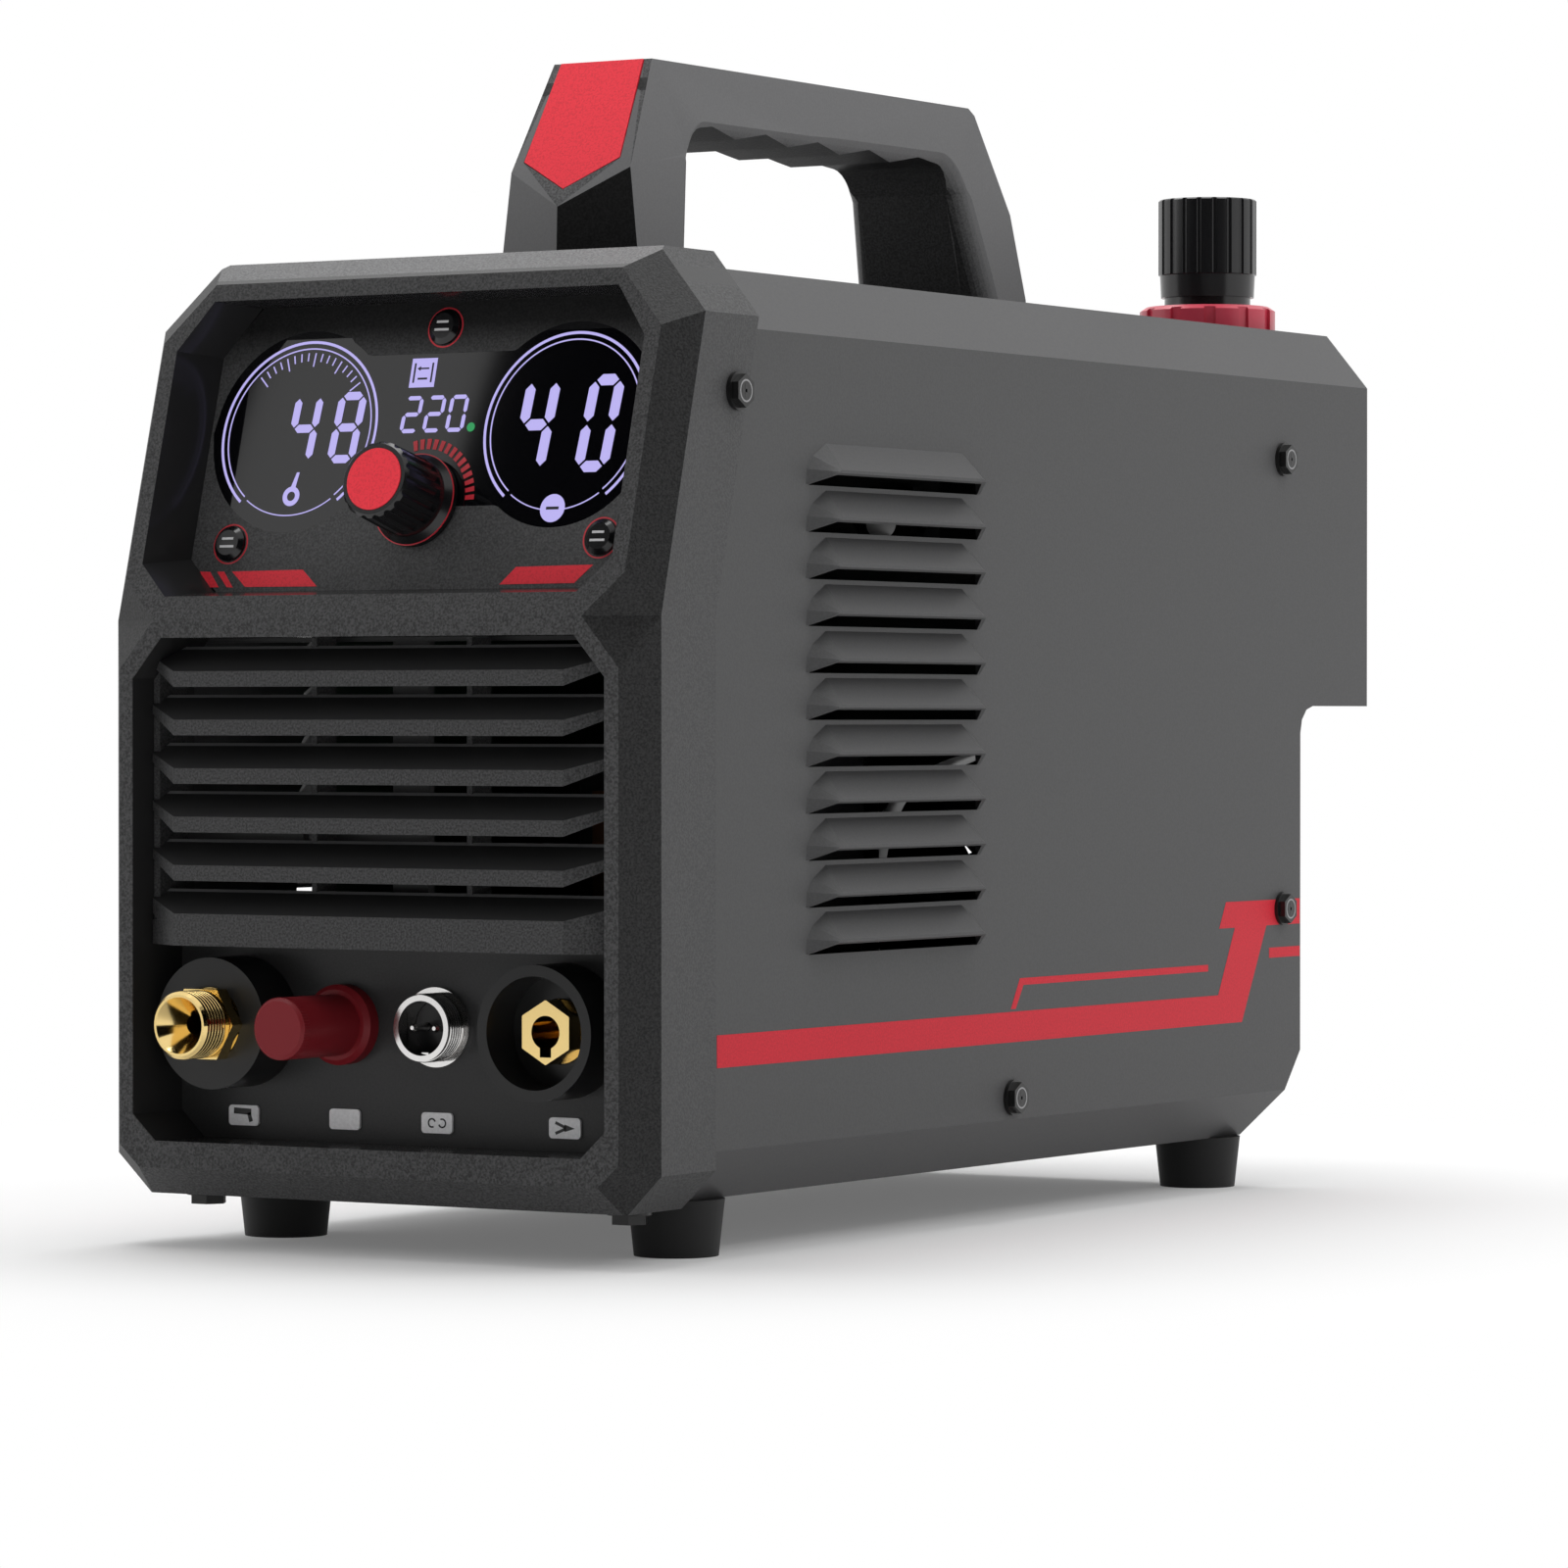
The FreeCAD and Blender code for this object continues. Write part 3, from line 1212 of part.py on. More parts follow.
fan_screws = []
for x, z in fan_spots:
    one = fuse("fan_screw", [rod("fan_screw_head", -HEAD_OUT, -GUARD_EYE, 3.8),
                             rod("fan_screw_shank", -GUARD_EYE - 0.1, fan_front + 1.5, 2)])
    fan_screws.append(stand(one, "front", x, D.rear_y, D.fan_z + z))
piece("fan_screws", group("fan_screw_all", fan_screws))

# carrying handle: three prisms that share one form, then the hand opening
RIDGE_TURN = 0.27
FACET_TILT = 0.512
FACET_HEIGHT = 32.9
facet_z = D.handle_top - FACET_HEIGHT
facet_y = D.handle_front + 0.5
top_front = facet_y + FACET_HEIGHT * FACET_TILT
base_z = D.cover_top
handle_side = [
    (D.handle_front - 2, base_z),
    (D.handle_front - 2, facet_z - 3.9),
    (top_front, D.handle_top),
    (D.handle_rear - 22.5, D.handle_top),
    (D.handle_rear - 19.5, D.handle_top - 1.8),
    (D.handle_rear - 4.5, D.handle_top - 28),
    (D.handle_rear, base_z + 6.3),
    (D.handle_rear - 0.5, base_z),
]
wide = 30
OPENING_LOW = 1.9
OPENING_RADIUS = 9
WAVE_FIRST = 20.5
WAVE_STEP = 13
WAVE_DEPTH = 1.6
grip_wave = [(D.grip_front + WAVE_FIRST + WAVE_STEP * n, D.grip_under + (0 if n % 2 else WAVE_DEPTH))
             for n in range(9)]
opening = rounded([
    (D.grip_front, base_z + OPENING_LOW),
    (D.grip_front + 8, D.grip_under + 0.5),
] + grip_wave + [
    (D.grip_rear - 11.5, D.grip_under + 0.5),
    (D.grip_rear, base_z + OPENING_LOW),
], OPENING_RADIUS, which=(1, 11), steps=5)
opening = rounded(opening, 3, which=(0, len(opening) - 1))
handle_form = common("handle_form", [
    prism("handle_side", "YZ", -wide, wide, [handle_side]),
    prism("handle_end", "XZ", D.handle_front - 5, D.handle_rear + 5, [mirrored([
        (D.handle_half_low, base_z),
        (D.handle_half_top, D.handle_top + 0.5),
    ])]),
    prism("handle_plan", "XY", base_z - 1, D.handle_top + 1, [[
        (0, D.handle_front),
        (wide, D.handle_front + wide * RIDGE_TURN),
        (wide, D.handle_rear + 5),
        (-wide, D.handle_rear + 5),
        (-wide, D.handle_front + wide * RIDGE_TURN),
    ]]),
])
FACET_TURN = 90 - math.degrees(math.atan(FACET_TILT))
FACET_LENGTH = math.hypot(FACET_HEIGHT, FACET_HEIGHT * FACET_TILT)
INSERT_DEPTH = 2
INSERT_BAND = 2.8
INSERT_SIDE = 13.6
insert_outline = [
    (0, 1.8),
    (INSERT_SIDE, 9.6),
    (D.handle_half_top - INSERT_BAND, FACET_LENGTH),
    (INSERT_BAND - D.handle_half_top, FACET_LENGTH),
    (-INSERT_SIDE, 9.6),
]


def on_facet(thing):
    thing.Placement = Placement(Vector(), Rotation(Vector(1, 0, 0), FACET_TURN))
    move(thing, 0, facet_y, facet_z)
    return thing


recess = on_facet(group("insert_recess", [prism("recess", "XY", -INSERT_DEPTH, 4, [insert_outline])]))
bolt_ways = [rod("handle_bolt_way", base_z - 1, base_z + 24, 2.4, 0, y) for y in HANDLE_BOLTS]
piece("handle_body", cut("handle_cut", handle_form, [
    prism("hand_opening", "YZ", -wide, wide, [opening]), recess] + bolt_ways))
inner = [(x * 0.985, s * 0.99 + 0.2) for x, s in insert_outline]
piece("handle_insert", group("insert_placed", [
    on_facet(group("insert_local", [prism("insert", "XY", -INSERT_DEPTH, 0.4, [inner])]))]))
piece("handle_bolts", bolt_group("handle_bolt", HANDLE_BOLT, [
    ("down", 0, y, D.cover_top - D.sheet) for y in HANDLE_BOLTS]))

# air regulator: hangs under the hood, its neck comes up through the roof
def on_regulator(name, thing):
    piece(name, thing, "up", D.regulator_x, D.regulator_y, 0)


COLLAR = 7.4
neck_top = D.cover_top + 10.1
roof = D.cover_top - D.sheet
PORT_DROP = 23.7
port_z = D.cover_top - PORT_DROP
regulator_low = D.cover_top - 41.7
spigot = neck_top + 13
NECK = 12.1
SPIGOT = 10
BODY = 18
body_form = turned("regulator_form", [
    (regulator_low, roof - 0.5, BODY), (roof - 1, neck_top, NECK), (neck_top - 1, spigot, SPIGOT)])
OUTLET_START = 16
OUTLET_GAP = 0.7
outlet_length = D.regulator_y - OUTLET_START - D.rear_y - OUTLET_GAP
ports = [stand(turned("inlet_boss", [(0, BODY, 8)]), "front", 0, BODY + 0.5, port_z),
         stand(turned("outlet_boss", [(0, outlet_length, 5)]), "front", 0, -OUTLET_START, FEED[1])]
air_port = stand(rod("air_port", 0, 14, 5.2), "front", 0, 20, port_z)
on_regulator("regulator_body", cut("regulator_cut", fuse("regulator_whole", [body_form] + ports),
                                   [air_port]))
RING_EDGE = 1.2
ring_top = D.cover_top + COLLAR
ring = turned("ring_form", [
    (D.cover_top, ring_top - RING_EDGE, D.ring_radius),
    (ring_top - RING_EDGE, ring_top, (D.ring_radius, D.ring_radius - RING_EDGE * 1.5)),
], [(D.cover_top - 1, neck_top, NECK + 0.05)])
NOTCHES = 12
NOTCH_DEPTH = 0.9
NOTCH_HALF = 1.6
notches = []
for number in range(NOTCHES):
    notch_box = group("ring_notch", [box("notch_box", (D.ring_radius - NOTCH_DEPTH, D.ring_radius + 2),
                                         (-NOTCH_HALF, NOTCH_HALF), (D.cover_top - 1, ring_top + 1))])
    notch_box.Placement = Placement(Vector(), Rotation(Vector(0, 0, 1), 360 / NOTCHES * number))
    notches.append(notch_box)
on_regulator("regulator_ring_nut", cut("ring_notched", ring, notches))
r_knob = doc.addObject("PartDesign::Body", "regulator_knob_form")
flute_low = neck_top + 6.4
profile = body_sketch(r_knob, "XZ_Plane", [[
    (SPIGOT + 0.15, neck_top),
    (D.regulator_radius - 0.7, neck_top),
    (D.regulator_radius - 0.4, flute_low - SLIM),
    (D.regulator_radius, flute_low),
    (D.regulator_radius, D.regulator_top - 1.3),
    (D.regulator_radius - 0.4, D.regulator_top - 0.9),
    (0, D.regulator_top),
    (0, spigot + 0.5),
    (SPIGOT + 0.15, spigot + 0.5),
]])
turn = r_knob.newObject("PartDesign::Revolution", "regulator_knob_turned")
turn.Profile = profile
turn.ReferenceAxis = (profile, ["V_Axis"])
turn.Angle = 360
flute = body_sketch(r_knob, "XY_Plane", circles=[(D.regulator_radius + 0.35, 0, 0.9)],
                    offset=D.regulator_top + 1)
flute_cut = extrude(r_knob, "Pocket", flute, D.regulator_top + 1 - flute_low)
around = r_knob.newObject("PartDesign::PolarPattern", "regulator_knob_flutes")
around.Originals = [flute_cut]
around.Axis = (origin_part(r_knob, "Z_Axis"), [""])
around.Angle = 360
around.Occurrences = 20
r_knob.Tip = around
on_regulator("regulator_knob", r_knob)
BOWL_LENGTH = 54
BOWL = 15
bowl_low = regulator_low - BOWL_LENGTH
on_regulator("filter_bowl", turned("bowl", [
    (bowl_low, regulator_low, BOWL), (bowl_low - 5, bowl_low + 0.5, (5, 12))],
    [(bowl_low + 2, regulator_low + 1, BOWL - 2)]))
INLET_GRIP = 5
piece("air_inlet_fitting", turned(
    "inlet", [(-2.5, 0, 5.6), (0, INLET_GRIP, 7.5), (INLET_GRIP, 12, 5)], [(-3, 11, 4.05)]),
      "front", D.regulator_x, D.regulator_y + BODY + 0.5 + INLET_GRIP, port_z)

# mains gland and power switch in the rear panel
GLAND_THREAD = 8
GLAND_HEX = 20
gland_solid = fuse("gland_solid", [
    rod("gland_thread", -9, 0.5, GLAND_THREAD),
    hexagon("gland_hex", 0, 5, GLAND_HEX),
    cone("gland_dome", 5, 15, 9.2, 7.5)])
piece("mains_gland", cut("gland_cut", gland_solid, [rod("gland_way", -10, 16, 5)]),
      "rear", GLAND[0], D.rear_y, GLAND[1])
gland_nut = hexagon("gland_nut_hex", -4.4 - D.rear_thick, -D.rear_thick, GLAND_HEX)
piece("gland_nut", cut("gland_nut_cut", gland_nut, [rod("gland_nut_way", -8, 0, GLAND_THREAD + 0.05)]),
      "rear", GLAND[0], D.rear_y, GLAND[1])
AXLE = 1.5
AXLE_AT = -2.5
case = []
for label, more, (low, high) in (("switch_rim", 2, (0, 1.6)), ("switch_case", 0, (-22, 0.5))):
    across, up = [half + more for half in SWITCH_CASE]
    case.append(box(label, (-across, across), (-up, up), (low, high)))
case_ways = [box("rocker_room", (-8.5, 8.5), (-13.4, 13.4), (-14, 2))]
axle_way = group("axle_way", [rod("axle_bore", -9.6, 9.6, AXLE + 0.06)])
axle_way.Placement = Placement(Vector(0, 0, AXLE_AT), Rotation(Vector(0, 1, 0), 90))
piece("power_switch_housing", cut("switch_housing", fuse("switch_solid", case), case_ways + [axle_way]),
      "rear", SWITCH_AT[0], D.rear_y, SWITCH_AT[1])
ROCKED = 8
rocker_form = prism("rocker_form", "YZ", -8.1, 8.1, [[
    (0, 3.6),
    (11.6, 6.2),
    (11, -4),
    (3, -6),
    (-3, -6),
    (-11, -4),
    (-11.6, 6.2),
]])
axle = group("axle", [rod("axle_pin", -9.4, 9.4, AXLE)])
axle.Placement = Placement(Vector(0, 0, 0), Rotation(Vector(0, 1, 0), 90))
rocker_off = group("rocker_off", [fuse("rocker", [rocker_form, axle])])
rocker_off.Placement = Placement(Vector(), Rotation(Vector(1, 0, 0), ROCKED))
piece("power_switch_rocker", group("rocker_set", [rocker_off]),
      "rear", SWITCH_AT[0], D.rear_y + AXLE_AT, SWITCH_AT[1])

# power electronics between the tray and the board
SINK_TOP = 60
SINK_BASE = 6
SINK_HALF = 25
SINK_RUN = (110, 270)
FINS = 7
FIN_PITCH = 8
FIN_THICK = 2
tray_top = D.cover_hem_z + D.tray_thick
sink_x = D.cover_half - SINK_HALF - 14
sinks = []
for x in (-sink_x, sink_x):
    fins_at = [x - SINK_HALF + FIN_PITCH * n for n in range(FINS)]
    fins = [box("fin", (low, low + FIN_THICK), SINK_RUN, (tray_top, SINK_TOP - SINK_BASE + 1))
            for low in fins_at]
    base = box("sink_base", (x - SINK_HALF, x + SINK_HALF), SINK_RUN, (SINK_TOP - SINK_BASE, SINK_TOP))
    sinks.append(fuse("sink", [base] + fins))
piece("heatsinks", group("sink_pair", sinks))
BOARD_TOP = SINK_TOP + 1.6
piece("power_board", fuse("power_board_whole", [
    box("power_sheet", (9 - D.cover_half, D.cover_half - 9), (70, 290), (SINK_TOP, BOARD_TOP)),
    box("relay", (-60, -42), (80, 100), (BOARD_TOP - 0.5, BOARD_TOP + 16)),
    box("bridge", (30, 60), (225, 255), (BOARD_TOP - 0.5, BOARD_TOP + 12)),
    box("driver", (-61.6, -60), (66, 296), (BOARD_TOP - 0.5, D.cover_corner - 6)),
]))

# transformer: a core with two windows, the winding round its middle leg
CORE_MID = (8, 148)
CORE_HALF = (32, 18)
CORE_HEIGHT = 60
LEG = 10
WINDOW = 14
MIDDLE_HALF = 8
core_top = BOARD_TOP + CORE_HEIGHT
core = box("core", (CORE_MID[0] - CORE_HALF[0], CORE_MID[0] + CORE_HALF[0]),
           (CORE_MID[1] - CORE_HALF[1], CORE_MID[1] + CORE_HALF[1]), (BOARD_TOP, core_top))
windows = [box("core_window", (low, low + WINDOW),
               (CORE_MID[1] - CORE_HALF[1] - 1, CORE_MID[1] + CORE_HALF[1] + 1),
               (BOARD_TOP + LEG, core_top - LEG))
           for low in (CORE_MID[0] - MIDDLE_HALF - WINDOW, CORE_MID[0] + MIDDLE_HALF)]
piece("transformer_core", cut("core_cut", core, windows))
COIL_HALF = (MIDDLE_HALF + WINDOW - 0.5, CORE_HALF[1] + 10)
LEG_ROOM = (MIDDLE_HALF + 0.4, CORE_HALF[1] + 0.4)
winding, winding_way = [
    box(label, (CORE_MID[0] - across, CORE_MID[0] + across), (CORE_MID[1] - deep, CORE_MID[1] + deep),
        (BOARD_TOP + LEG + rise, core_top - LEG - rise))
    for label, (across, deep), rise in (("winding", COIL_HALF, 1), ("winding_way", LEG_ROOM, -LEG))]
piece("transformer_winding", cut("winding_cut", winding, [winding_way]))
CAPACITORS = [(x, y) for y in (215, 243) for x in (-44, -16)]
piece("capacitors", group("capacitor_group", [
    rod("capacitor", BOARD_TOP, BOARD_TOP + 45, 12.5, x, y) for x, y in CAPACITORS]))

# solenoid valve: held by its foot on the rear panel, its coil hangs below the block
valve_x, valve_z = FEED
valve_y = D.rear_y - 22
BLOCK_HALF = (11, 14)
COIL = 11
piece("solenoid_valve", fuse("valve", [
    box("valve_block", (valve_x - BLOCK_HALF[0], valve_x + BLOCK_HALF[0]),
        (valve_y - BLOCK_HALF[1], valve_y + BLOCK_HALF[1]), (valve_z - 12, valve_z + 8)),
    rod("valve_coil", valve_z - 45, valve_z - 11, COIL, valve_x, valve_y),
    stand(rod("valve_port", 0, 9, 5), "front", valve_x, D.rear_y + 0.4, valve_z),
    box("valve_foot", (valve_x - 16, valve_x - 8), (valve_y + 8, rear_front), (valve_z - 10, valve_z + 6)),
]))

# check, then write one file for each piece
doc.recompute()
for thing in doc.Objects:
    if "Invalid" in thing.State or "Error" in thing.State:
        raise SystemExit(f"{thing.Name} is {thing.State}")
for name, thing in pieces:
    if thing.Shape.isNull() or not thing.Shape.isValid():
        raise SystemExit(f"{name} has no valid shape")
os.makedirs("parts", exist_ok=True)
for name, thing in pieces:
    thing.Shape.exportStep(f"parts/{name}.step")
print(len(pieces), "pieces")
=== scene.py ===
import math

import bmesh
import bpy
from mathutils import Euler, Matrix, Vector


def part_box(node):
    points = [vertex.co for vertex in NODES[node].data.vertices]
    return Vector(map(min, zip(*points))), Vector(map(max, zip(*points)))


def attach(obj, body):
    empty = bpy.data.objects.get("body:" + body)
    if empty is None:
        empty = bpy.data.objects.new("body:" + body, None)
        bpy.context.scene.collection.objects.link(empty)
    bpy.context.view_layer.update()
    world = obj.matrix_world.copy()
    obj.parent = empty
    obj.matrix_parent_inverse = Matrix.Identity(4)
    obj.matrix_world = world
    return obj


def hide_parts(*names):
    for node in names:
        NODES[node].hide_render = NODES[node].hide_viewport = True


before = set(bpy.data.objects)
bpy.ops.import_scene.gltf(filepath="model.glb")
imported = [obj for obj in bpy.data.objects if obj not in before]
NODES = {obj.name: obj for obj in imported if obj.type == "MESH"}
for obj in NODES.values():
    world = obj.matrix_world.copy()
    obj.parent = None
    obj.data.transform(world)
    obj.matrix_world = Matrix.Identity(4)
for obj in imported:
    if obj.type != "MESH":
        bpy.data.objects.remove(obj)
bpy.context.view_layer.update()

MM = 0.001

# places on the solids, in metres
RIM_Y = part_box("front_bezel")[0].y
WAIST = 0.1532
COVER_HALF = 0.077
PANEL_Y = RIM_Y + 0.020
HANDLE_LOW, HANDLE_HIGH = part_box("handle_body")

# the bezel's upper face leans back, and the face of the display glass is 15.5 mm behind it
LEAN = math.radians(15)
GLASS = -15.5


# materials
class Surface:
    """A Principled surface, with masks by place and by the way that a face looks."""

    def __init__(self, name, color, rough, metal=0.0, specular=0.5, emit=None, alpha=1.0):
        self.mat = bpy.data.materials.new(name)
        self.mat.use_nodes = True
        self.nodes = self.mat.node_tree.nodes
        self.links = self.mat.node_tree.links
        self.shader = self.nodes["Principled BSDF"]
        self.color = (*color, 1)
        for socket, value in (("Base Color", self.color), ("Roughness", rough), ("Metallic", metal),
                              ("Specular IOR Level", specular), ("Alpha", alpha)):
            self.shader.inputs[socket].default_value = value
        if emit:
            self.shader.inputs["Emission Color"].default_value = (*emit, 1)
            self.shader.inputs["Emission Strength"].default_value = 1.0

    def feed(self, socket, value):
        if isinstance(value, bpy.types.NodeSocket):
            self.links.new(value, socket)
        else:
            socket.default_value = value

    def math(self, operation, *values):
        node = self.nodes.new("ShaderNodeMath")
        node.operation = operation
        for socket, value in zip(node.inputs, values):
            self.feed(socket, value)
        return node.outputs[0]

    def split(self, output):
        node = self.nodes.new("ShaderNodeSeparateXYZ")
        self.links.new(output, node.inputs[0])
        return list(node.outputs)

    def place(self):
        """x, y and z in mm."""
        coords = self.nodes.new("ShaderNodeTexCoord")
        parts = self.split(coords.outputs["Object"])
        return [self.math("MULTIPLY", part, 1 / MM) for part in parts]

    def facing(self):
        """x, y and z of the face's normal."""
        return self.split(self.nodes.new("ShaderNodeNewGeometry").outputs["True Normal"])

    def ramp(self, value, start, end, low=0.0, high=1.0):
        """Runs from low to high while value goes from start to end."""
        node = self.nodes.new("ShaderNodeMapRange")
        self.feed(node.inputs["Value"], value)
        node.inputs["From Min"].default_value = start
        node.inputs["From Max"].default_value = end
        node.inputs["To Min"].default_value = low
        node.inputs["To Max"].default_value = high
        return node.outputs["Result"]

    def over(self, value, limit):
        return self.math("GREATER_THAN", value, limit)

    def under(self, value, limit):
        return self.math("LESS_THAN", value, limit)

    def both(self, *masks):
        result = masks[0]
        for mask in masks[1:]:
            result = self.math("MULTIPLY", result, mask)
        return result

    def mix(self, mask, first, second):
        """One colour where the mask is 0 and the other where it is 1."""
        node = self.nodes.new("ShaderNodeMix")
        node.data_type = "RGBA"
        self.feed(node.inputs["Factor"], mask)
        self.feed(node.inputs["A"], first)
        self.feed(node.inputs["B"], second)
        return node.outputs["Result"]

    def mix_number(self, mask, first, second):
        node = self.nodes.new("ShaderNodeMix")
        node.data_type = "FLOAT"
        self.feed(node.inputs["Factor"], mask)
        self.feed(node.inputs["A"], first)
        self.feed(node.inputs["B"], second)
        return node.outputs["Result"]

    def grain(self, size, depth, speck=0.0, mask=None, color=None):
        """Fine grain: size and depth in mm, speck is the contrast of its colour."""
        coords = self.nodes.new("ShaderNodeTexCoord")
        noise = self.nodes.new("ShaderNodeTexNoise")
        noise.inputs["Scale"].default_value = 1 / (size * MM)
        noise.inputs["Detail"].default_value = 2
        self.links.new(coords.outputs["Object"], noise.inputs["Vector"])
        bump = self.nodes.new("ShaderNodeBump")
        bump.inputs["Strength"].default_value = 0.6
        bump.inputs["Distance"].default_value = depth * MM
        if mask is not None:
            self.links.new(self.math("MULTIPLY", mask, 0.6), bump.inputs["Strength"])
        self.links.new(noise.outputs["Fac"], bump.inputs["Height"])
        self.links.new(bump.outputs["Normal"], self.shader.inputs["Normal"])
        color = self.color if color is None else color
        if speck:
            change = self.ramp(noise.outputs["Fac"], 0.35, 0.65, 1 - speck, 1 + speck)
            if mask is not None:
                change = self.mix_number(mask, 1.0, change)
            tint = self.nodes.new("ShaderNodeVectorMath")
            tint.operation = "SCALE"
            linked = isinstance(color, bpy.types.NodeSocket)
            self.feed(tint.inputs[0], color if linked else color[:3])
            self.links.new(change, tint.inputs["Scale"])
            color = tint.outputs["Vector"]
        self.feed(self.shader.inputs["Base Color"], color)


def gray(level):
    """The albedo of a grey that reads as this 8-bit level."""
    share = level / 255
    linear = share / 12.92 if share <= 0.04045 else ((share + 0.055) / 1.055) ** 2.4
    return (linear, linear, linear * 1.02)


def shade(level):
    """The same grey as a socket's value."""
    return (*gray(level), 1)


def at_face(y):
    """The y in mm of a depth in mm behind the bezel's rim."""
    return RIM_Y / MM + y


GRAIN_MM = 0.55
RED = (0.98, 0.045, 0.070)
STRIPE_RED = (0.66, 0.030, 0.048)
LILAC = (0.50, 0.45, 0.88)
LED_GREEN = (0.02, 0.30, 0.09)
MATS = {}


def plain(key, *args, grain=None, **options):
    surface = Surface(key, *args, **options)
    if grain:
        surface.grain(*grain)
    MATS[key] = surface.mat


plain("glass", (0.003, 0.003, 0.004), 0.04, specular=0.6)
plain("print_black", (0.004, 0.004, 0.005), 0.30)
plain("dark", (0.008, 0.008, 0.009), 0.30, specular=0.4)
plain("gloss_black", (0.010, 0.010, 0.011), 0.22)
plain("button", (0.006, 0.006, 0.007), 0.16)
plain("boss", gray(32), 0.34, specular=0.4)
plain("cup", gray(28), 0.30, specular=0.4)
plain("red", RED, 0.45, specular=0.2, grain=(GRAIN_MM, 0.05, 0.10))
plain("stripe", STRIPE_RED, 0.5, specular=0.15, grain=(GRAIN_MM, 0.02, 0.08))
plain("red_line", (0.72, 0.030, 0.050), 0.35)
plain("post", (0.21, 0.012, 0.018), 0.40, specular=0.25)
plain("ring", (0.62, 0.045, 0.085), 0.32, specular=0.6)
plain("brass", (0.86, 0.64, 0.27), 0.13, metal=1.0)
plain("chrome", (0.74, 0.73, 0.72), 0.11, metal=1.0)
plain("zinc", (0.60, 0.60, 0.61), 0.35, metal=1.0)
plain("black_steel", (0.012, 0.012, 0.012), 0.30, metal=0.2)
# pale metal for a painted highlight round the screw heads' rims
plain("screw_rim_glint", gray(150), 0.30, metal=0.6)
plain("rubber", gray(32), 0.60, specular=0.3)
plain("board", (0.004, 0.022, 0.010), 0.45)
plain("sink", (0.020, 0.020, 0.021), 0.50)
plain("ferrite", (0.02, 0.02, 0.022), 0.60)
plain("winding", (0.22, 0.085, 0.03), 0.45, metal=0.5)
plain("bowl", (0.80, 0.84, 0.87), 0.10, alpha=0.35)
plain("plate", gray(242), 0.40, grain=(0.9, 0.02, 0.05))
plain("light", gray(20), 0.5, specular=0.2, emit=LILAC)
plain("green", gray(10), 0.5, emit=LED_GREEN)
plain("white", gray(225), 0.5)


# limits of the masks, in mm
WINDOW_HALF, WINDOW_LOW, WINDOW_TOP = 72.6, 20.5, 237.0
SIDE_X = 78.5
LIP_FRONT, LIP_BACK = 11.2, 13.0
FACET_DEPTH, SEAM_DEPTH = 30, 24
HAND_FRONT, HAND_REAR, HAND_TOP = 13, 8, 5
FILM_SHADE_SPAN = (62, 72)


def bezel_surface():
    """Grained plastic, with smooth glossy walls inside its two windows and smoother outer sides;
    painted light makes the outer sides and the upward facing bevels lighter, and painted shade
    makes the bevels facing front-left and front-right darker.
    """
    s = Surface("bezel_plastic", gray(68), 0.52, specular=0.2)
    x, y, z = s.place()
    nx, ny, nz = s.facing()
    across = s.math("ABSOLUTE", x)
    inside = s.both(s.under(across, WINDOW_HALF), s.over(z, WINDOW_LOW), s.under(z, WINDOW_TOP),
                    s.over(ny, -0.5), s.over(y, at_face(0.3)))
    side = s.both(s.over(s.math("ABSOLUTE", nx), 0.9), s.over(across, SIDE_X))
    front = s.under(ny, -0.25)
    right = s.both(front, s.over(nx, 0.3))
    left = s.both(front, s.under(nx, -0.3))
    above = s.both(front, s.over(nz, 0.6))
    # painted light and shade by facing: lighter outer sides and upward bevels, darker front-right
    # and front-left bevels
    color = s.mix(side, s.color, shade(78))
    color = s.mix(above, color, shade(86))
    color = s.mix(right, color, shade(46))
    color = s.mix(left, color, shade(48))
    color = s.mix(inside, color, shade(44))
    rough = s.mix_number(inside, s.mix_number(side, 0.52, 0.46), 0.16)
    s.feed(s.shader.inputs["Roughness"], rough)
    smooth = s.math("MAXIMUM", inside, s.math("MULTIPLY", side, 0.55))
    s.grain(GRAIN_MM, 0.13, 0.42, mask=s.math("SUBTRACT", 1.0, smooth), color=color)
    return s.mat


def grille_surface():
    """Grained fronts whose upper edges carry a painted highlight, and smooth faces above and below
    the blades, darker as painted shade.
    """
    s = Surface("grille_plastic", gray(66), 0.52, specular=0.2)
    nz = s.facing()[2]
    y = s.place()[1]
    flat = s.over(s.math("ABSOLUTE", nz), 0.3)
    lip_highlight = s.both(s.over(y, at_face(LIP_FRONT)), s.under(y, at_face(LIP_BACK)), s.over(nz, 0.15))
    # painted shade on the faces between the blades, and a painted highlight on the lips behind them
    color = s.mix(flat, s.color, shade(52))
    color = s.mix(lip_highlight, color, shade(150))
    s.feed(s.shader.inputs["Roughness"], s.mix_number(flat, 0.52, 0.30))
    s.grain(GRAIN_MM, 0.10, 0.40, mask=s.math("SUBTRACT", 1.0, flat), color=color)
    return s.mat


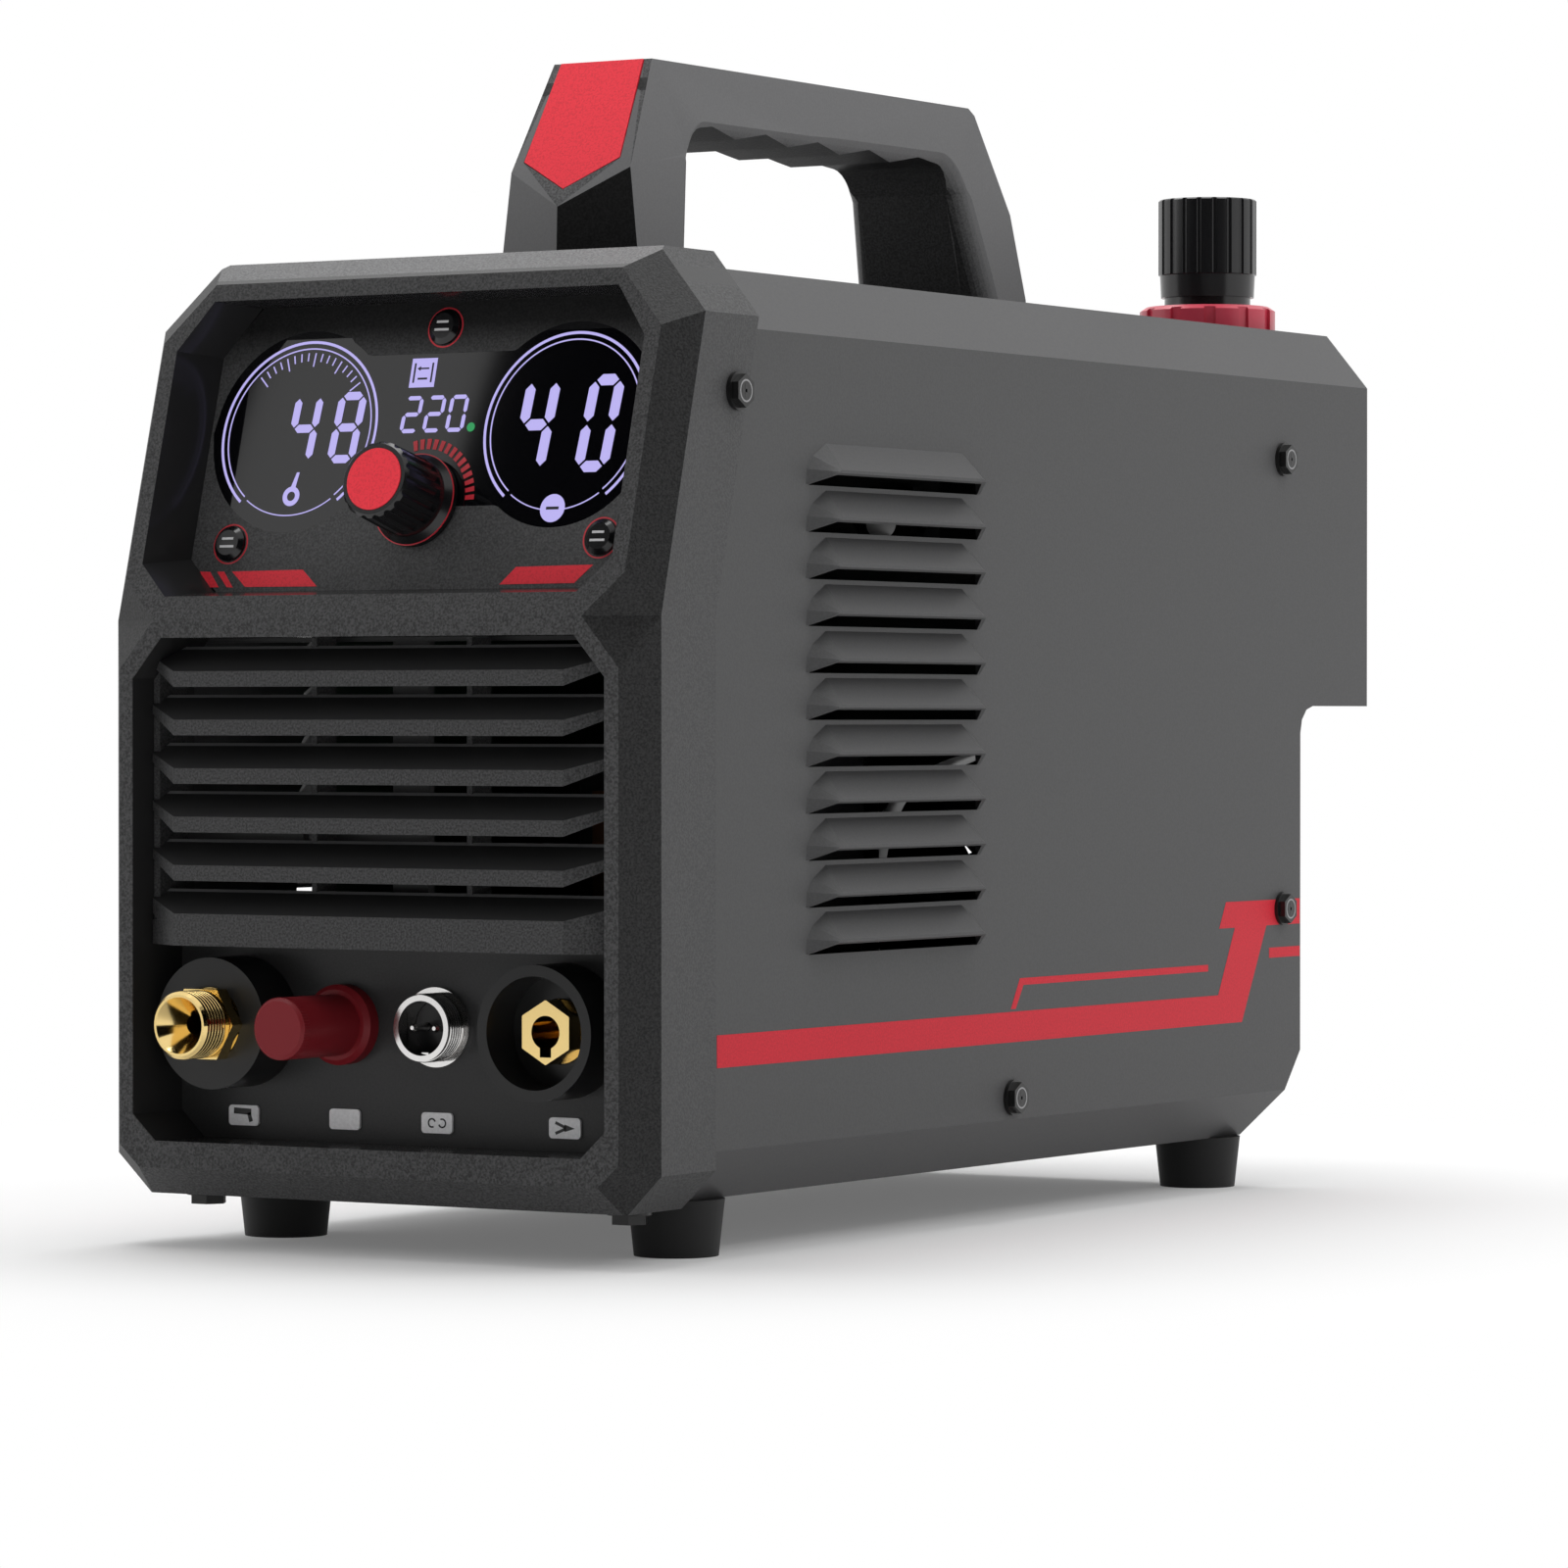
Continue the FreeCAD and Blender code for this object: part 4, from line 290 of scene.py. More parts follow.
def handle_surface():
    """Smooth grey sides, grained band round the insert and dark seam; painted shade darkens the
    front leg's right lower facet and the grained underside of the grip, deepening as its faces turn
    from the sides.
    """
    s = Surface("handle_plastic", gray(112), 0.48, specular=0.2)
    x, y, z = s.place()
    nx, ny, nz = s.facing()
    front = HANDLE_LOW.y / MM
    top = HANDLE_HIGH.z / MM
    turned = s.math("ABSOLUTE", nx)
    near = s.under(y, front + FACET_DEPTH)
    facet = s.both(s.under(ny, -0.5), s.over(nz, 0.25), s.under(turned, 0.1), near)
    # the front leg's right lower facet: grained, darkened as painted shade
    leg = s.both(s.under(ny, -0.5), s.under(nz, 0.25), near, s.over(x, 0.0), s.under(turned, 0.4))
    seam = s.both(s.under(ny, -0.22), s.over(turned, 0.33), s.under(y, front + SEAM_DEPTH))
    # the grip's grained underside, darkened as painted shade that deepens as its faces turn away
    # from the sides
    hand = s.both(s.over(y, front + HAND_FRONT), s.under(y, HANDLE_HIGH.y / MM - HAND_REAR),
                  s.under(z, top - HAND_TOP), s.ramp(turned, 0.96, 0.45),
                  s.under(s.math("MINIMUM", nz, ny), -0.02))
    color = s.mix(facet, s.color, shade(86))
    color = s.mix(leg, color, shade(30))
    color = s.mix(s.math("SUBTRACT", seam, s.both(seam, facet)), color, shade(44))
    color = s.mix(hand, color, shade(46))
    grained = s.math("MAXIMUM", facet, s.math("MAXIMUM", leg, hand))
    mask = s.math("ADD", 0.12, s.math("MULTIPLY", grained, 0.88))
    s.grain(GRAIN_MM, 0.12, 0.40, mask=mask, color=color)
    return s.mat


def cover_surface():
    """Fine powder coat over bent sheet."""
    s = Surface("cover_paint", gray(82), 0.46, specular=0.2)
    s.grain(0.6, 0.03, 0.06)
    return s.mat


def panel_surface():
    s = Surface("panel_plastic", gray(50), 0.38, specular=0.35)
    s.grain(GRAIN_MM, 0.02, 0.10)
    return s.mat


def film_surface():
    """Grained print, darkened toward its top by painted shade from the recess above it."""
    s = Surface("display_film", gray(80), 0.55, specular=0.2)
    z = s.place()[2]
    start, end = (WAIST / MM + height for height in FILM_SHADE_SPAN)
    # painted shade: darker toward the top, where the recess overhangs the film
    color = s.mix(s.ramp(z, start, end), s.color, shade(34))
    s.grain(GRAIN_MM, 0.05, 0.30, color=color)
    return s.mat


MATS["bezel"] = bezel_surface()
MATS["grille"] = grille_surface()
MATS["handle"] = handle_surface()
MATS["cover"] = cover_surface()
MATS["panel"] = panel_surface()
MATS["film"] = film_surface()

NODE_LOOKS = {
    "bezel": ["front_bezel"],
    "grille": ["front_grille"],
    "panel": ["socket_panel"],
    "cover": ["top_cover", "base_tray", "rear_panel"],
    "glass": ["display_glass"],
    "button": ["button_top", "button_left", "button_right"],
    "dark": ["display_panel", "socket_nuts", "trigger_socket_insert", "button_switches",
             "mains_gland", "gland_nut", "power_switch_housing", "fan_frame", "fan_rotor",
             "capacitors"],
    "boss": ["torch_socket_housing"],
    "cup": ["earth_socket_housing"],
    "red": ["knob_cap", "power_switch_rocker"],
    "black_steel": ["handle_bolts", "side_screws", "front_bolts"],
    "rubber": ["foot_front_left", "foot_front_right", "foot_rear_left", "foot_rear_right"],
    "zinc": ["foot_screws", "encoder_body", "encoder_nut", "encoder_shaft", "fan_guard",
             "fan_screws"],
    "brass": ["torch_socket_fitting", "pilot_post_stud", "earth_socket_contact",
              "air_inlet_fitting", "solenoid_valve"],
    "post": ["pilot_post_collar", "pilot_post_cap"],
    "chrome": ["trigger_socket_shell", "trigger_socket_pins", "trigger_socket_nut"],
    "plate": ["socket_plates"],
    "board": ["display_board", "power_board"],
    "gloss_black": ["control_knob", "regulator_knob", "regulator_body"],
    "sink": ["heatsinks"],
    "ring": ["regulator_ring_nut"],
    "bowl": ["filter_bowl"],
    "ferrite": ["transformer_core"],
    "winding": ["transformer_winding"],
}
# width of the rounded edges in mm
BEVELS = {
    "front_bezel": 0.5, "front_grille": 0.35, "top_cover": 0.25,
    "torch_socket_housing": 0.3, "earth_socket_housing": 0.9, "torch_socket_fitting": 0.25,
    "trigger_socket_shell": 0.3, "pilot_post_collar": 0.5, "pilot_post_cap": 0.5,
    "regulator_knob": 0.2, "control_knob": 0.25, "regulator_ring_nut": 0.3, "side_screws": 0.2,
    "front_bolts": 0.3, "knob_cap": 0.2, "earth_socket_contact": 0.3,
    "foot_front_left": 0.8, "foot_front_right": 0.8, "foot_rear_left": 0.8, "foot_rear_right": 0.8,
}
for look, names in NODE_LOOKS.items():
    for name in names:
        mesh = NODES[name].data
        mesh.materials.clear()
        mesh.materials.append(MATS[look])


def mesh_object(name, verts, faces, look=None, outward=False):
    """A new object in the scene, with its faces turned outward if asked."""
    mesh = bpy.data.meshes.new(name)
    mesh.from_pydata(verts, [], faces)
    if outward:
        shape = bmesh.new()
        shape.from_mesh(mesh)
        bmesh.ops.recalc_face_normals(shape, faces=shape.faces)
        shape.to_mesh(mesh)
        shape.free()
    else:
        mesh.validate()
    if look:
        mesh.materials.append(MATS[look])
    made = bpy.data.objects.new(name, mesh)
    bpy.context.collection.objects.link(made)
    return made


def soften(obj, width):
    """Round an object's sharp edges, to a width in mm."""
    edge = obj.modifiers.new("soft_edges", "BEVEL")
    edge.width = width * MM
    edge.segments = 3
    edge.limit_method = "ANGLE"
    edge.angle_limit = math.radians(28)
    edge.use_clamp_overlap = True


for name, width in BEVELS.items():
    soften(NODES[name], width)


# carrying handle and insert: copies of their solids with the front leg drawn forward
def own_copy(node, name):
    """A copy of a solid's mesh, without its stored normals."""
    mesh = NODES[node].data.copy()
    stored = mesh.attributes.get("custom_normal")
    if stored:
        mesh.attributes.remove(stored)
    made = bpy.data.objects.new(name, mesh)
    bpy.context.collection.objects.link(made)
    return made


RIDGE_DEPTH, RIDGE_TURN = 87.2, 0.27
LEG_FOOT, LEG_BACK, LEG_NARROW = 240.0, 95.0, 0.955
FOOT_SHIFT = 4.0
BEND_SHIFT, BEND_EASE, BEND_DROP = 3.5, 0.053, 5.0
APEX_SHIFT, APEX_DROP = 2.0, 2.4
BADGE_SHIFT, BADGE_DROP, BADGE_WIDEN = 1.5, 1.7, 1.07
CROWN_BACK, CROWN_LOW, CROWN_EDGE = 107.0, 290.0, 15.0
CROWN_NARROW, BADGE_NARROW = 0.9, 0.93


def draw_forward(mesh):
    """Move the front leg's corners and those of the badge and its recess."""
    for vert in mesh.vertices:
        x, depth, height = vert.co.x / MM, (vert.co.y - RIM_Y) / MM, vert.co.z / MM
        across = abs(x)
        on_leg = abs(depth - RIDGE_DEPTH - RIDGE_TURN * across) < 0.4
        if height < LEG_FOOT and depth < LEG_BACK:
            x *= LEG_NARROW
            depth -= FOOT_SHIFT
        elif on_leg and depth < LEG_BACK:
            x *= LEG_NARROW
            depth = depth - BEND_SHIFT + across * BEND_EASE
            height -= BEND_DROP
        elif depth < LEG_BACK and across < 1:
            depth -= APEX_SHIFT
            height -= APEX_DROP
        elif depth < LEG_BACK:
            x *= BADGE_WIDEN
            depth -= BADGE_SHIFT
            height -= BADGE_DROP
        elif depth < CROWN_BACK and height > CROWN_LOW:
            x *= CROWN_NARROW if across > CROWN_EDGE else BADGE_NARROW
        vert.co = (x * MM, RIM_Y + depth * MM, height * MM)


GRIP_DROP = 4.5
DROP_FRONT, DROP_FRONT_FADE = 107.0, 8.0
DROP_REAR, DROP_REAR_FADE = 271.0, 12.0
DROP_LOW, DROP_HIGH, DROP_FADE = 266.0, 288.0, 11.0


def lower_grip(mesh):
    """Let the grip's underside hang lower, and less so toward its ends."""
    for vert in mesh.vertices:
        depth, height = (vert.co.y - RIM_Y) / MM, vert.co.z / MM
        rear = min(1, max(0, (DROP_REAR - depth) / DROP_REAR_FADE))
        front = min(1, max(0, (depth - DROP_FRONT) / DROP_FRONT_FADE))
        ends = rear * front
        rise = min(1, max(0, (height - DROP_LOW) / DROP_FADE),
                   max(0, (DROP_HIGH - height) / DROP_FADE))
        vert.co.z -= GRIP_DROP * ends * rise * MM


# hand opening: its side edges flare out to a wide round at the grip and the rear leg
GRIP_FRONT, GRIP_REAR, GRIP_ROOF, GRIP_LOW = 108.5, 261.6, 278.7, 239.6
WALL_RISE, FRONT_RUN, REAR_RUN = 37.9, 8.0, 11.5
CORNER_R = 9.0
BASE_HALF, SIDE_LEAN, BASE_Z = 22.2, 0.102, 237.7
SILL_EDGE, FRONT_EDGE, FRONT_CORNER_EDGE, REAR_EDGE = 0.8, 1.2, 1.4, 8.5
ROOF_FRONT_EDGE, ROOF_REAR_EDGE, ROOF_STEPS = 6.5, 7.5, 12
FLARE_TURNS = (8, 18, 28, 38, 48, 58, 68, 79, 90)
CLEAR, OUTSIDE = 0.05, 4.0


def turn_points(centre, start, end, first, last, steps=8):
    """Points round a corner, from one angle in degrees to another, with their edge radii."""
    spots = []
    for i in range(steps):
        t = i / (steps - 1)
        a = math.radians(start + (end - start) * t)
        way = (math.cos(a), math.sin(a))
        spots.append((centre[0] + CORNER_R * way[0], centre[1] + CORNER_R * way[1], *way,
                      first + (last - first) * t))
    return spots


def opening_line():
    """The opening's outline as (depth, height, way out, edge radius), all in mm."""
    front_lean, rear_lean = math.atan2(FRONT_RUN, WALL_RISE), math.atan2(REAR_RUN, WALL_RISE)
    eye = GRIP_ROOF - CORNER_R
    share = (eye - GRIP_LOW) / WALL_RISE
    front_eye = (GRIP_FRONT + FRONT_RUN * share + CORNER_R / math.cos(front_lean), eye)
    rear_eye = (GRIP_REAR - REAR_RUN * share - CORNER_R / math.cos(rear_lean), eye)
    front_way = (-math.cos(front_lean), math.sin(front_lean))
    rear_way = (math.cos(rear_lean), math.sin(rear_lean))
    low = GRIP_LOW + 0.6
    line = [(GRIP_FRONT + 3, GRIP_LOW, 0, -1, SILL_EDGE),
            (GRIP_FRONT + 0.2, low, *front_way, FRONT_EDGE)]
    line += turn_points(front_eye, 180 - math.degrees(front_lean), 90, FRONT_CORNER_EDGE,
                        ROOF_FRONT_EDGE)
    for i in range(1, ROOF_STEPS):
        t = i / ROOF_STEPS
        line.append((front_eye[0] + (rear_eye[0] - front_eye[0]) * t, GRIP_ROOF, 0, 1,
                     ROOF_FRONT_EDGE + (ROOF_REAR_EDGE - ROOF_FRONT_EDGE) * t))
    line += turn_points(rear_eye, 90, math.degrees(rear_lean), ROOF_REAR_EDGE, REAR_EDGE)
    line += [(GRIP_REAR - 0.2, low, *rear_way, REAR_EDGE),
             (GRIP_REAR - 3, GRIP_LOW, 0, -1, SILL_EDGE)]
    return line


def flare(side):
    """A closed form whose wall runs from the opening's wall out to the handle's side face."""
    line = opening_line()
    count = len(line)
    verts, faces = [], []
    rows = len(FLARE_TURNS) + 1
    for row in range(rows):
        last = row == rows - 1
        a = math.radians(90 if last else FLARE_TURNS[row])
        for depth, height, way_y, way_z, radius in line:
            off = radius * (1 - math.cos(a)) + CLEAR
            half = BASE_HALF - SIDE_LEAN * (height - BASE_Z)
            x = half + OUTSIDE if last else half - radius * (1 - math.sin(a))
            y, z = at_face(depth + way_y * off), height + way_z * off
            verts.append((side * x * MM, y * MM, z * MM))
    for row in range(rows - 1):
        for i in range(count):
            a, b = row * count + i, row * count + (i + 1) % count
            faces.append((a, b, b + count, a + count))
    for row in (0, rows - 1):
        loop = verts[row * count:(row + 1) * count]
        verts.append(tuple(sum(part) / count for part in zip(*loop)))
        for i in range(count):
            faces.append((row * count + i, row * count + (i + 1) % count, len(verts) - 1))
    return mesh_object("flare", verts, faces, outward=True)


def bake(obj):
    """Turn an object's modifiers into its mesh."""
    graph = bpy.context.evaluated_depsgraph_get()
    mesh = bpy.data.meshes.new_from_object(obj.evaluated_get(graph))
    obj.modifiers.clear()
    obj.data = mesh


def finish_copy(obj, node, look):
    """Smooth a changed copy, and let it stand for its solid."""
    obj.data.polygons.foreach_set("use_smooth", [True] * len(obj.data.polygons))
    obj.data.set_sharp_from_angle(angle=math.radians(15))
    obj.data.materials.clear()
    obj.data.materials.append(MATS[look])
    even = obj.modifiers.new("even_shading", "WEIGHTED_NORMAL")
    even.keep_sharp = True
    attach(obj, "unit")
    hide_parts(node)


handle = own_copy("handle_body", "handle_shell")
draw_forward(handle.data)
soften(handle, 1.2)
flares = [flare(1), flare(-1)]
for cutter in flares:
    hollow = handle.modifiers.new("hand_round", "BOOLEAN")
    hollow.operation = "DIFFERENCE"
    hollow.solver = "EXACT"
    hollow.object = cutter
bake(handle)
lower_grip(handle.data)
for cutter in flares:
    bpy.data.objects.remove(cutter)
finish_copy(handle, "handle_body", "handle")
badge = own_copy("handle_insert", "handle_badge")
draw_forward(badge.data)
soften(badge, 0.25)
bake(badge)
finish_copy(badge, "handle_insert", "red")


# fan wheel: its hub with seven broad pitched blades
FAN_TIP, FAN_HUB, FAN_BLADES = 42.6, 17.0, 7
HUB_HALF, HUB_MIDDLE, HUB_STEPS = 9.2, 9.25, 40
BLADE_TURN, BLADE_PITCH, BLADE_HALF = math.radians(66), 14.0, 0.6


def fan_wheel():
    low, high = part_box("fan_rotor")
    cx, cz = (low.x + high.x) / 2, (low.z + high.z) / 2
    cy = low.y + HUB_MIDDLE * MM
    across, along = 5, 9
    verts, faces = [], []

    def spot(radius, turn, depth):
        reach = radius * MM
        verts.append((cx + reach * math.cos(turn), cy + depth * MM, cz + reach * math.sin(turn)))

    for blade in range(FAN_BLADES):
        first = len(verts)
        for i in range(across):
            radius = FAN_HUB - 1 + (FAN_TIP - FAN_HUB + 1) * i / (across - 1)
            for j in range(along):
                share = j / (along - 1) - 0.5
                turn = 2 * math.pi * blade / FAN_BLADES + BLADE_TURN * share
                for thick in (-BLADE_HALF, BLADE_HALF):
                    spot(radius, turn, BLADE_PITCH * share + thick)

        def at(i, j, k):
            return first + (i * along + j) * 2 + k

        for i in range(across - 1):
            for j in range(along - 1):
                faces.append((at(i, j, 0), at(i + 1, j, 0), at(i + 1, j + 1, 0), at(i, j + 1, 0)))
                faces.append((at(i, j, 1), at(i, j + 1, 1), at(i + 1, j + 1, 1), at(i + 1, j, 1)))
        for i in range(across - 1):
            for j in (0, along - 1):
                faces.append((at(i, j, 0), at(i, j, 1), at(i + 1, j, 1), at(i + 1, j, 0)))
        for j in range(along - 1):
            for i in (0, across - 1):
                faces.append((at(i, j, 0), at(i, j + 1, 0), at(i, j + 1, 1), at(i, j, 1)))
    first, steps = len(verts), HUB_STEPS
    for depth in (-HUB_HALF, HUB_HALF):
        for i in range(steps):
            spot(FAN_HUB, 2 * math.pi * i / steps, depth)
    for i in range(steps):
        j = (i + 1) % steps
        faces.append((first + i, first + j, first + steps + j, first + steps + i))
    faces.append(tuple(range(first, first + steps)))
    faces.append(tuple(range(first + steps, first + 2 * steps)))
    made = mesh_object("fan_blades", verts, faces, "dark", outward=True)
    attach(made, "fan_wheel")
    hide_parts("fan_rotor")


fan_wheel()


# flat print and thin plates
def place_on(origin, across, up):
    """A frame for flat print: its x runs across, its y runs up and its z stands off the surface."""
    x = Vector(across).normalized()
    y = Vector(up).normalized()
    z = x.cross(y)
    m = Matrix((x, y, z)).transposed().to_4x4()
    m.translation = origin
    return m


SLOPE_UP = Vector((0, math.sin(LEAN), math.cos(LEAN)))
SLOPE = place_on(Vector((0, RIM_Y, WAIST)), (1, 0, 0), SLOPE_UP)


def thin(name, shapes, where, low, thick, look, body="unit"):
    """Polygons in mm on a flat frame, standing from low to low + thick above it."""
    verts = []
    faces = []
    for shape in shapes:
        first = len(verts)
        count = len(shape)
        for height in (low, low + thick):
            verts += [where @ Vector((u * MM, v * MM, height * MM)) for u, v in shape]
        faces.append([first + i for i in reversed(range(count))])
        faces.append([first + count + i for i in range(count)])
        for i in range(count):
            j = (i + 1) % count
            faces.append([first + i, first + j, first + count + j, first + count + i])
    obj = mesh_object(name, verts, faces, look)
    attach(obj, body)


def arc(cx, cy, inner, outer, start, end, steps=48):
    """A band of short quads between two radii, from one angle to another in degrees."""
    shapes = []
    for i in range(steps):
        a = math.radians(start + (end - start) * i / steps)
        b = math.radians(start + (end - start) * (i + 1) / steps)
        shapes.append([(cx + r * math.cos(t), cy + r * math.sin(t))
                       for r, t in ((inner, a), (outer, a), (outer, b), (inner, b))])
    return shapes


def disc(cx, cy, radius, steps=40):
    return [(cx + radius * math.cos(2 * math.pi * i / steps),
             cy + radius * math.sin(2 * math.pi * i / steps)) for i in range(steps)]


def bar(x0, y0, x1, y1, width):
    """A straight bar with pointed ends from one point to another."""
    run = Vector((x1 - x0, y1 - y0))
    way = run.normalized()
    side = Vector((-way.y, way.x)) * width / 2
    near = Vector((x0, y0))
    far = Vector((x1, y1))
    tip = way * width / 2
    return [tuple(p) for p in (near, near + tip - side, far - tip - side, far, far - tip + side,
                               near + tip + side)]


def rule(x0, y0, x1, y1, width):
    """A straight bar with square ends."""
    side = Vector((y0 - y1, x1 - x0)).normalized() * width / 2
    return [(x0 - side.x, y0 - side.y), (x1 - side.x, y1 - side.y),
            (x1 + side.x, y1 + side.y), (x0 + side.x, y0 + side.y)]


SEGMENTS = {"0": "abcdef", "2": "abged", "4": "fgbc", "8": "abcdefg"}


def digit(sign, x, y, width, height, stroke, slant=0.06):
    """A seven-bar numeral standing on (x, y), measured over its bars."""
    width -= stroke
    height -= stroke
    x += stroke / 2
    y += stroke / 2
    half = height / 2
    ends = {"a": (0, height, width, height), "b": (width, height, width, half),
            "c": (width, half, width, 0), "d": (0, 0, width, 0), "e": (0, half, 0, 0),
            "f": (0, height, 0, half), "g": (0, half, width, half)}
    gap = stroke * 0.16
    shapes = []
    for key in SEGMENTS[sign]:
        x0, y0, x1, y1 = ends[key]
        way = Vector((x1 - x0, y1 - y0)).normalized() * gap
        spots = bar(x0 + way.x, y0 + way.y, x1 - way.x, y1 - way.y, stroke)
        shapes.append([(x + u + v * slant, y + v) for u, v in spots])
    return shapes


def number(text, x, y, width, height, stroke, pitch):
    shapes = []
    for i, sign in enumerate(text):
        shapes += digit(sign, x + pitch * i, y, width, height, stroke)
    return shapes


# display face: a grained film round the clear lens of two gauges and the strip between them
PRINT = 0.05
FILM = 0.08
INK = GLASS + FILM + 0.01
GAUGE_X = 39.2
GAUGE_S = 52.2
KNOB_S = 33.4
LENS_R = 25.8
STRIP_LOW, STRIP_HIGH = 32.2, 71.2
PLATEAU = (-45.8, -26.7, 76.0)
FILM_HALF, FILM_LOW, FILM_HIGH = 66.5, 10.2, 85.0
FILM_CORNER, LOW_CUT, HIGH_CUT = 55.5, 0.9, 1.15
FILM_STEPS = 120


def lens_edges(x):
    """Low and high edge of the clear lens at x, which are the same where it has none."""
    spans = []
    for centre in (-GAUGE_X, GAUGE_X):
        offset = abs(x - centre)
        if offset < LENS_R:
            reach = math.sqrt(LENS_R ** 2 - offset ** 2)
            spans.append((GAUGE_S - reach, GAUGE_S + reach))
    if abs(x) <= GAUGE_X:
        spans.append((STRIP_LOW, STRIP_HIGH))
    if PLATEAU[0] <= x <= PLATEAU[1]:
        spans.append((GAUGE_S, PLATEAU[2]))
    if not spans:
        return GAUGE_S, GAUGE_S
    return min(low for low, high in spans), max(high for low, high in spans)


def film_shapes():
    """Thin upright strips of film, below and above the clear lens."""
    stops = [-FILM_HALF + FILM_HALF * 2 * i / FILM_STEPS for i in range(FILM_STEPS + 1)]
    shapes = []
    for x0, x1 in zip(stops, stops[1:]):
        lows, highs = zip(lens_edges(x0), lens_edges(x1))
        cuts = [max(0, abs(x) - FILM_CORNER) for x in (x0, x1)]
        shapes.append([(x0, FILM_LOW + cuts[0] * LOW_CUT), (x1, FILM_LOW + cuts[1] * LOW_CUT),
                       (x1, lows[1]), (x0, lows[0])])
        shapes.append([(x0, highs[0]), (x1, highs[1]),
                       (x1, FILM_HIGH - cuts[1] * HIGH_CUT), (x0, FILM_HIGH - cuts[0] * HIGH_CUT)])
    return shapes


def on_film(name, shapes, look="light", low=INK):
    thin(name, shapes, SLOPE, low, PRINT, look)


thin("display_film", film_shapes(), SLOPE, GLASS, FILM, "film")

# each band has two radii, the angles of its ends and a number of steps
GAUGE_BANDS = [(22.6, 23.3, -50.6, 230.6, 84), (21.1, 21.45, -50.6, 230.6, 84),
               (21.35, 21.65, 234, 306, 28)]
rings = []
for side in (-1, 1):
    for band in GAUGE_BANDS:
        rings += arc(GAUGE_X * side, GAUGE_S, *band)
on_film("gauge_rings", rings)
TICKS, TICK_START, TICK_SWEEP = 17, 37, 98
TICK_OUTER, TICK_LONG, TICK_SHORT, TICK_WIDTH = 20.2, 3.5, 2.1, 0.35
ticks = []
for i in range(TICKS):
    angle = math.radians(TICK_START + TICK_SWEEP * i / (TICKS - 1))
    inner = TICK_OUTER - (TICK_LONG if i % 4 == 0 else TICK_SHORT)
    way = Vector((math.cos(angle), math.sin(angle)))
    ticks.append(rule(-GAUGE_X + way.x * inner, GAUGE_S + way.y * inner,
                      -GAUGE_X + way.x * TICK_OUTER, GAUGE_S + way.y * TICK_OUTER, TICK_WIDTH))
on_film("gauge_ticks", ticks)
on_film("gauge_numbers", number("48", -42.6, 43.8, 8.4, 18.2, 2.1, 13)
        + number("40", 25.2, 40.0, 9.9, 24.4, 2.8, 18.3))
on_film("middle_numbers", number("220", -9.1, 51.0, 5.4, 9.4, 1.05, 6.7))
on_film("mode_box", [[(-8.3, 62.6), (-0.9, 62.6), (-0.9, 70.0), (-8.3, 70.0)]])
MODE_MARKS = [
    rule(-7.2, 63.8, -7.2, 68.8, 0.5), rule(-2.0, 63.8, -2.0, 68.8, 0.5),
    rule(-5.6, 67.4, -3.0, 67.4, 0.4), [(-6.5, 67.4), (-5.5, 66.8), (-5.5, 68.0)],
    rule(-6.0, 64.8, -3.2, 64.8, 0.5),
]
on_film("mode_marks", MODE_MARKS, "print_black", INK + PRINT)
SIGN_X, SIGN_S = -38.6, 35.6
on_film("air_sign", arc(SIGN_X, SIGN_S, 1.2, 2.5, 0, 360, 28)
        + [[(SIGN_X - 0.5, SIGN_S + 2.2), (SIGN_X + 0.9, SIGN_S + 2.2),
            (SIGN_X + 1.5, SIGN_S + 6.1), (SIGN_X + 0.7, SIGN_S + 6.1)]])
on_film("current_sign", [disc(GAUGE_X, 31.2, 3.5)])
on_film("current_mark", [rule(37.4, 31.2, 41.0, 31.2, 0.7)], "print_black", INK + PRINT)
on_film("ready_light", [disc(11.9, 52.1, 1.15)], "green")
MARKS, MARK_START, MARK_SWEEP, MARK_TURN = 14, 1.5, 100, 4.6
knob_marks = []
for i in range(MARKS):
    a = MARK_START + MARK_SWEEP * i / (MARKS - 1)
    knob_marks += arc(0, KNOB_S, 13.4, 16.0, a, a + MARK_TURN, 2)
on_film("knob_marks", knob_marks, "red_line")
RED_BARS = [
    [(-62.7, 16.7), (-59.6, 12.6), (-56.2, 12.6), (-59.6, 16.6)],
    [(-57.5, 16.6), (-53.8, 12.6), (-51.9, 12.5), (-55.3, 16.6)],
    [(-52.9, 16.6), (-48.2, 12.6), (-26.5, 12.5), (-31.5, 16.8)],
    [(27.2, 12.4), (48.6, 12.5), (53.3, 17.0), (31.3, 16.7)],
]
on_film("red_bars", RED_BARS, "red")
BUTTONS = {"top_button": (0, 77.7), "left_button": (-54.6, 23.6), "right_button": (54.4, 23.6)}
BUTTON_FACE, KNOB_FOOT = GLASS + 1.66, GLASS + 2.2
for body, (x, s) in BUTTONS.items():
    on_film(f"{body}_ring", arc(x, s, 4.75, 5.15, 0, 360, 48), "red_line")
    thin(f"{body}_mark", [rule(x - 1.7, s + 1.0, x + 1.7, s + 1.0, 0.6),
                          rule(x - 2.1, s - 1.0, x + 2.1, s - 1.0, 0.6)],
         SLOPE, BUTTON_FACE, 0.1, "white", body)
thin("knob_line", arc(0, KNOB_S, 11.3, 11.6, 0, 360, 64), SLOPE, KNOB_FOOT, 0.25, "red_line",
     "control_knob_unit")

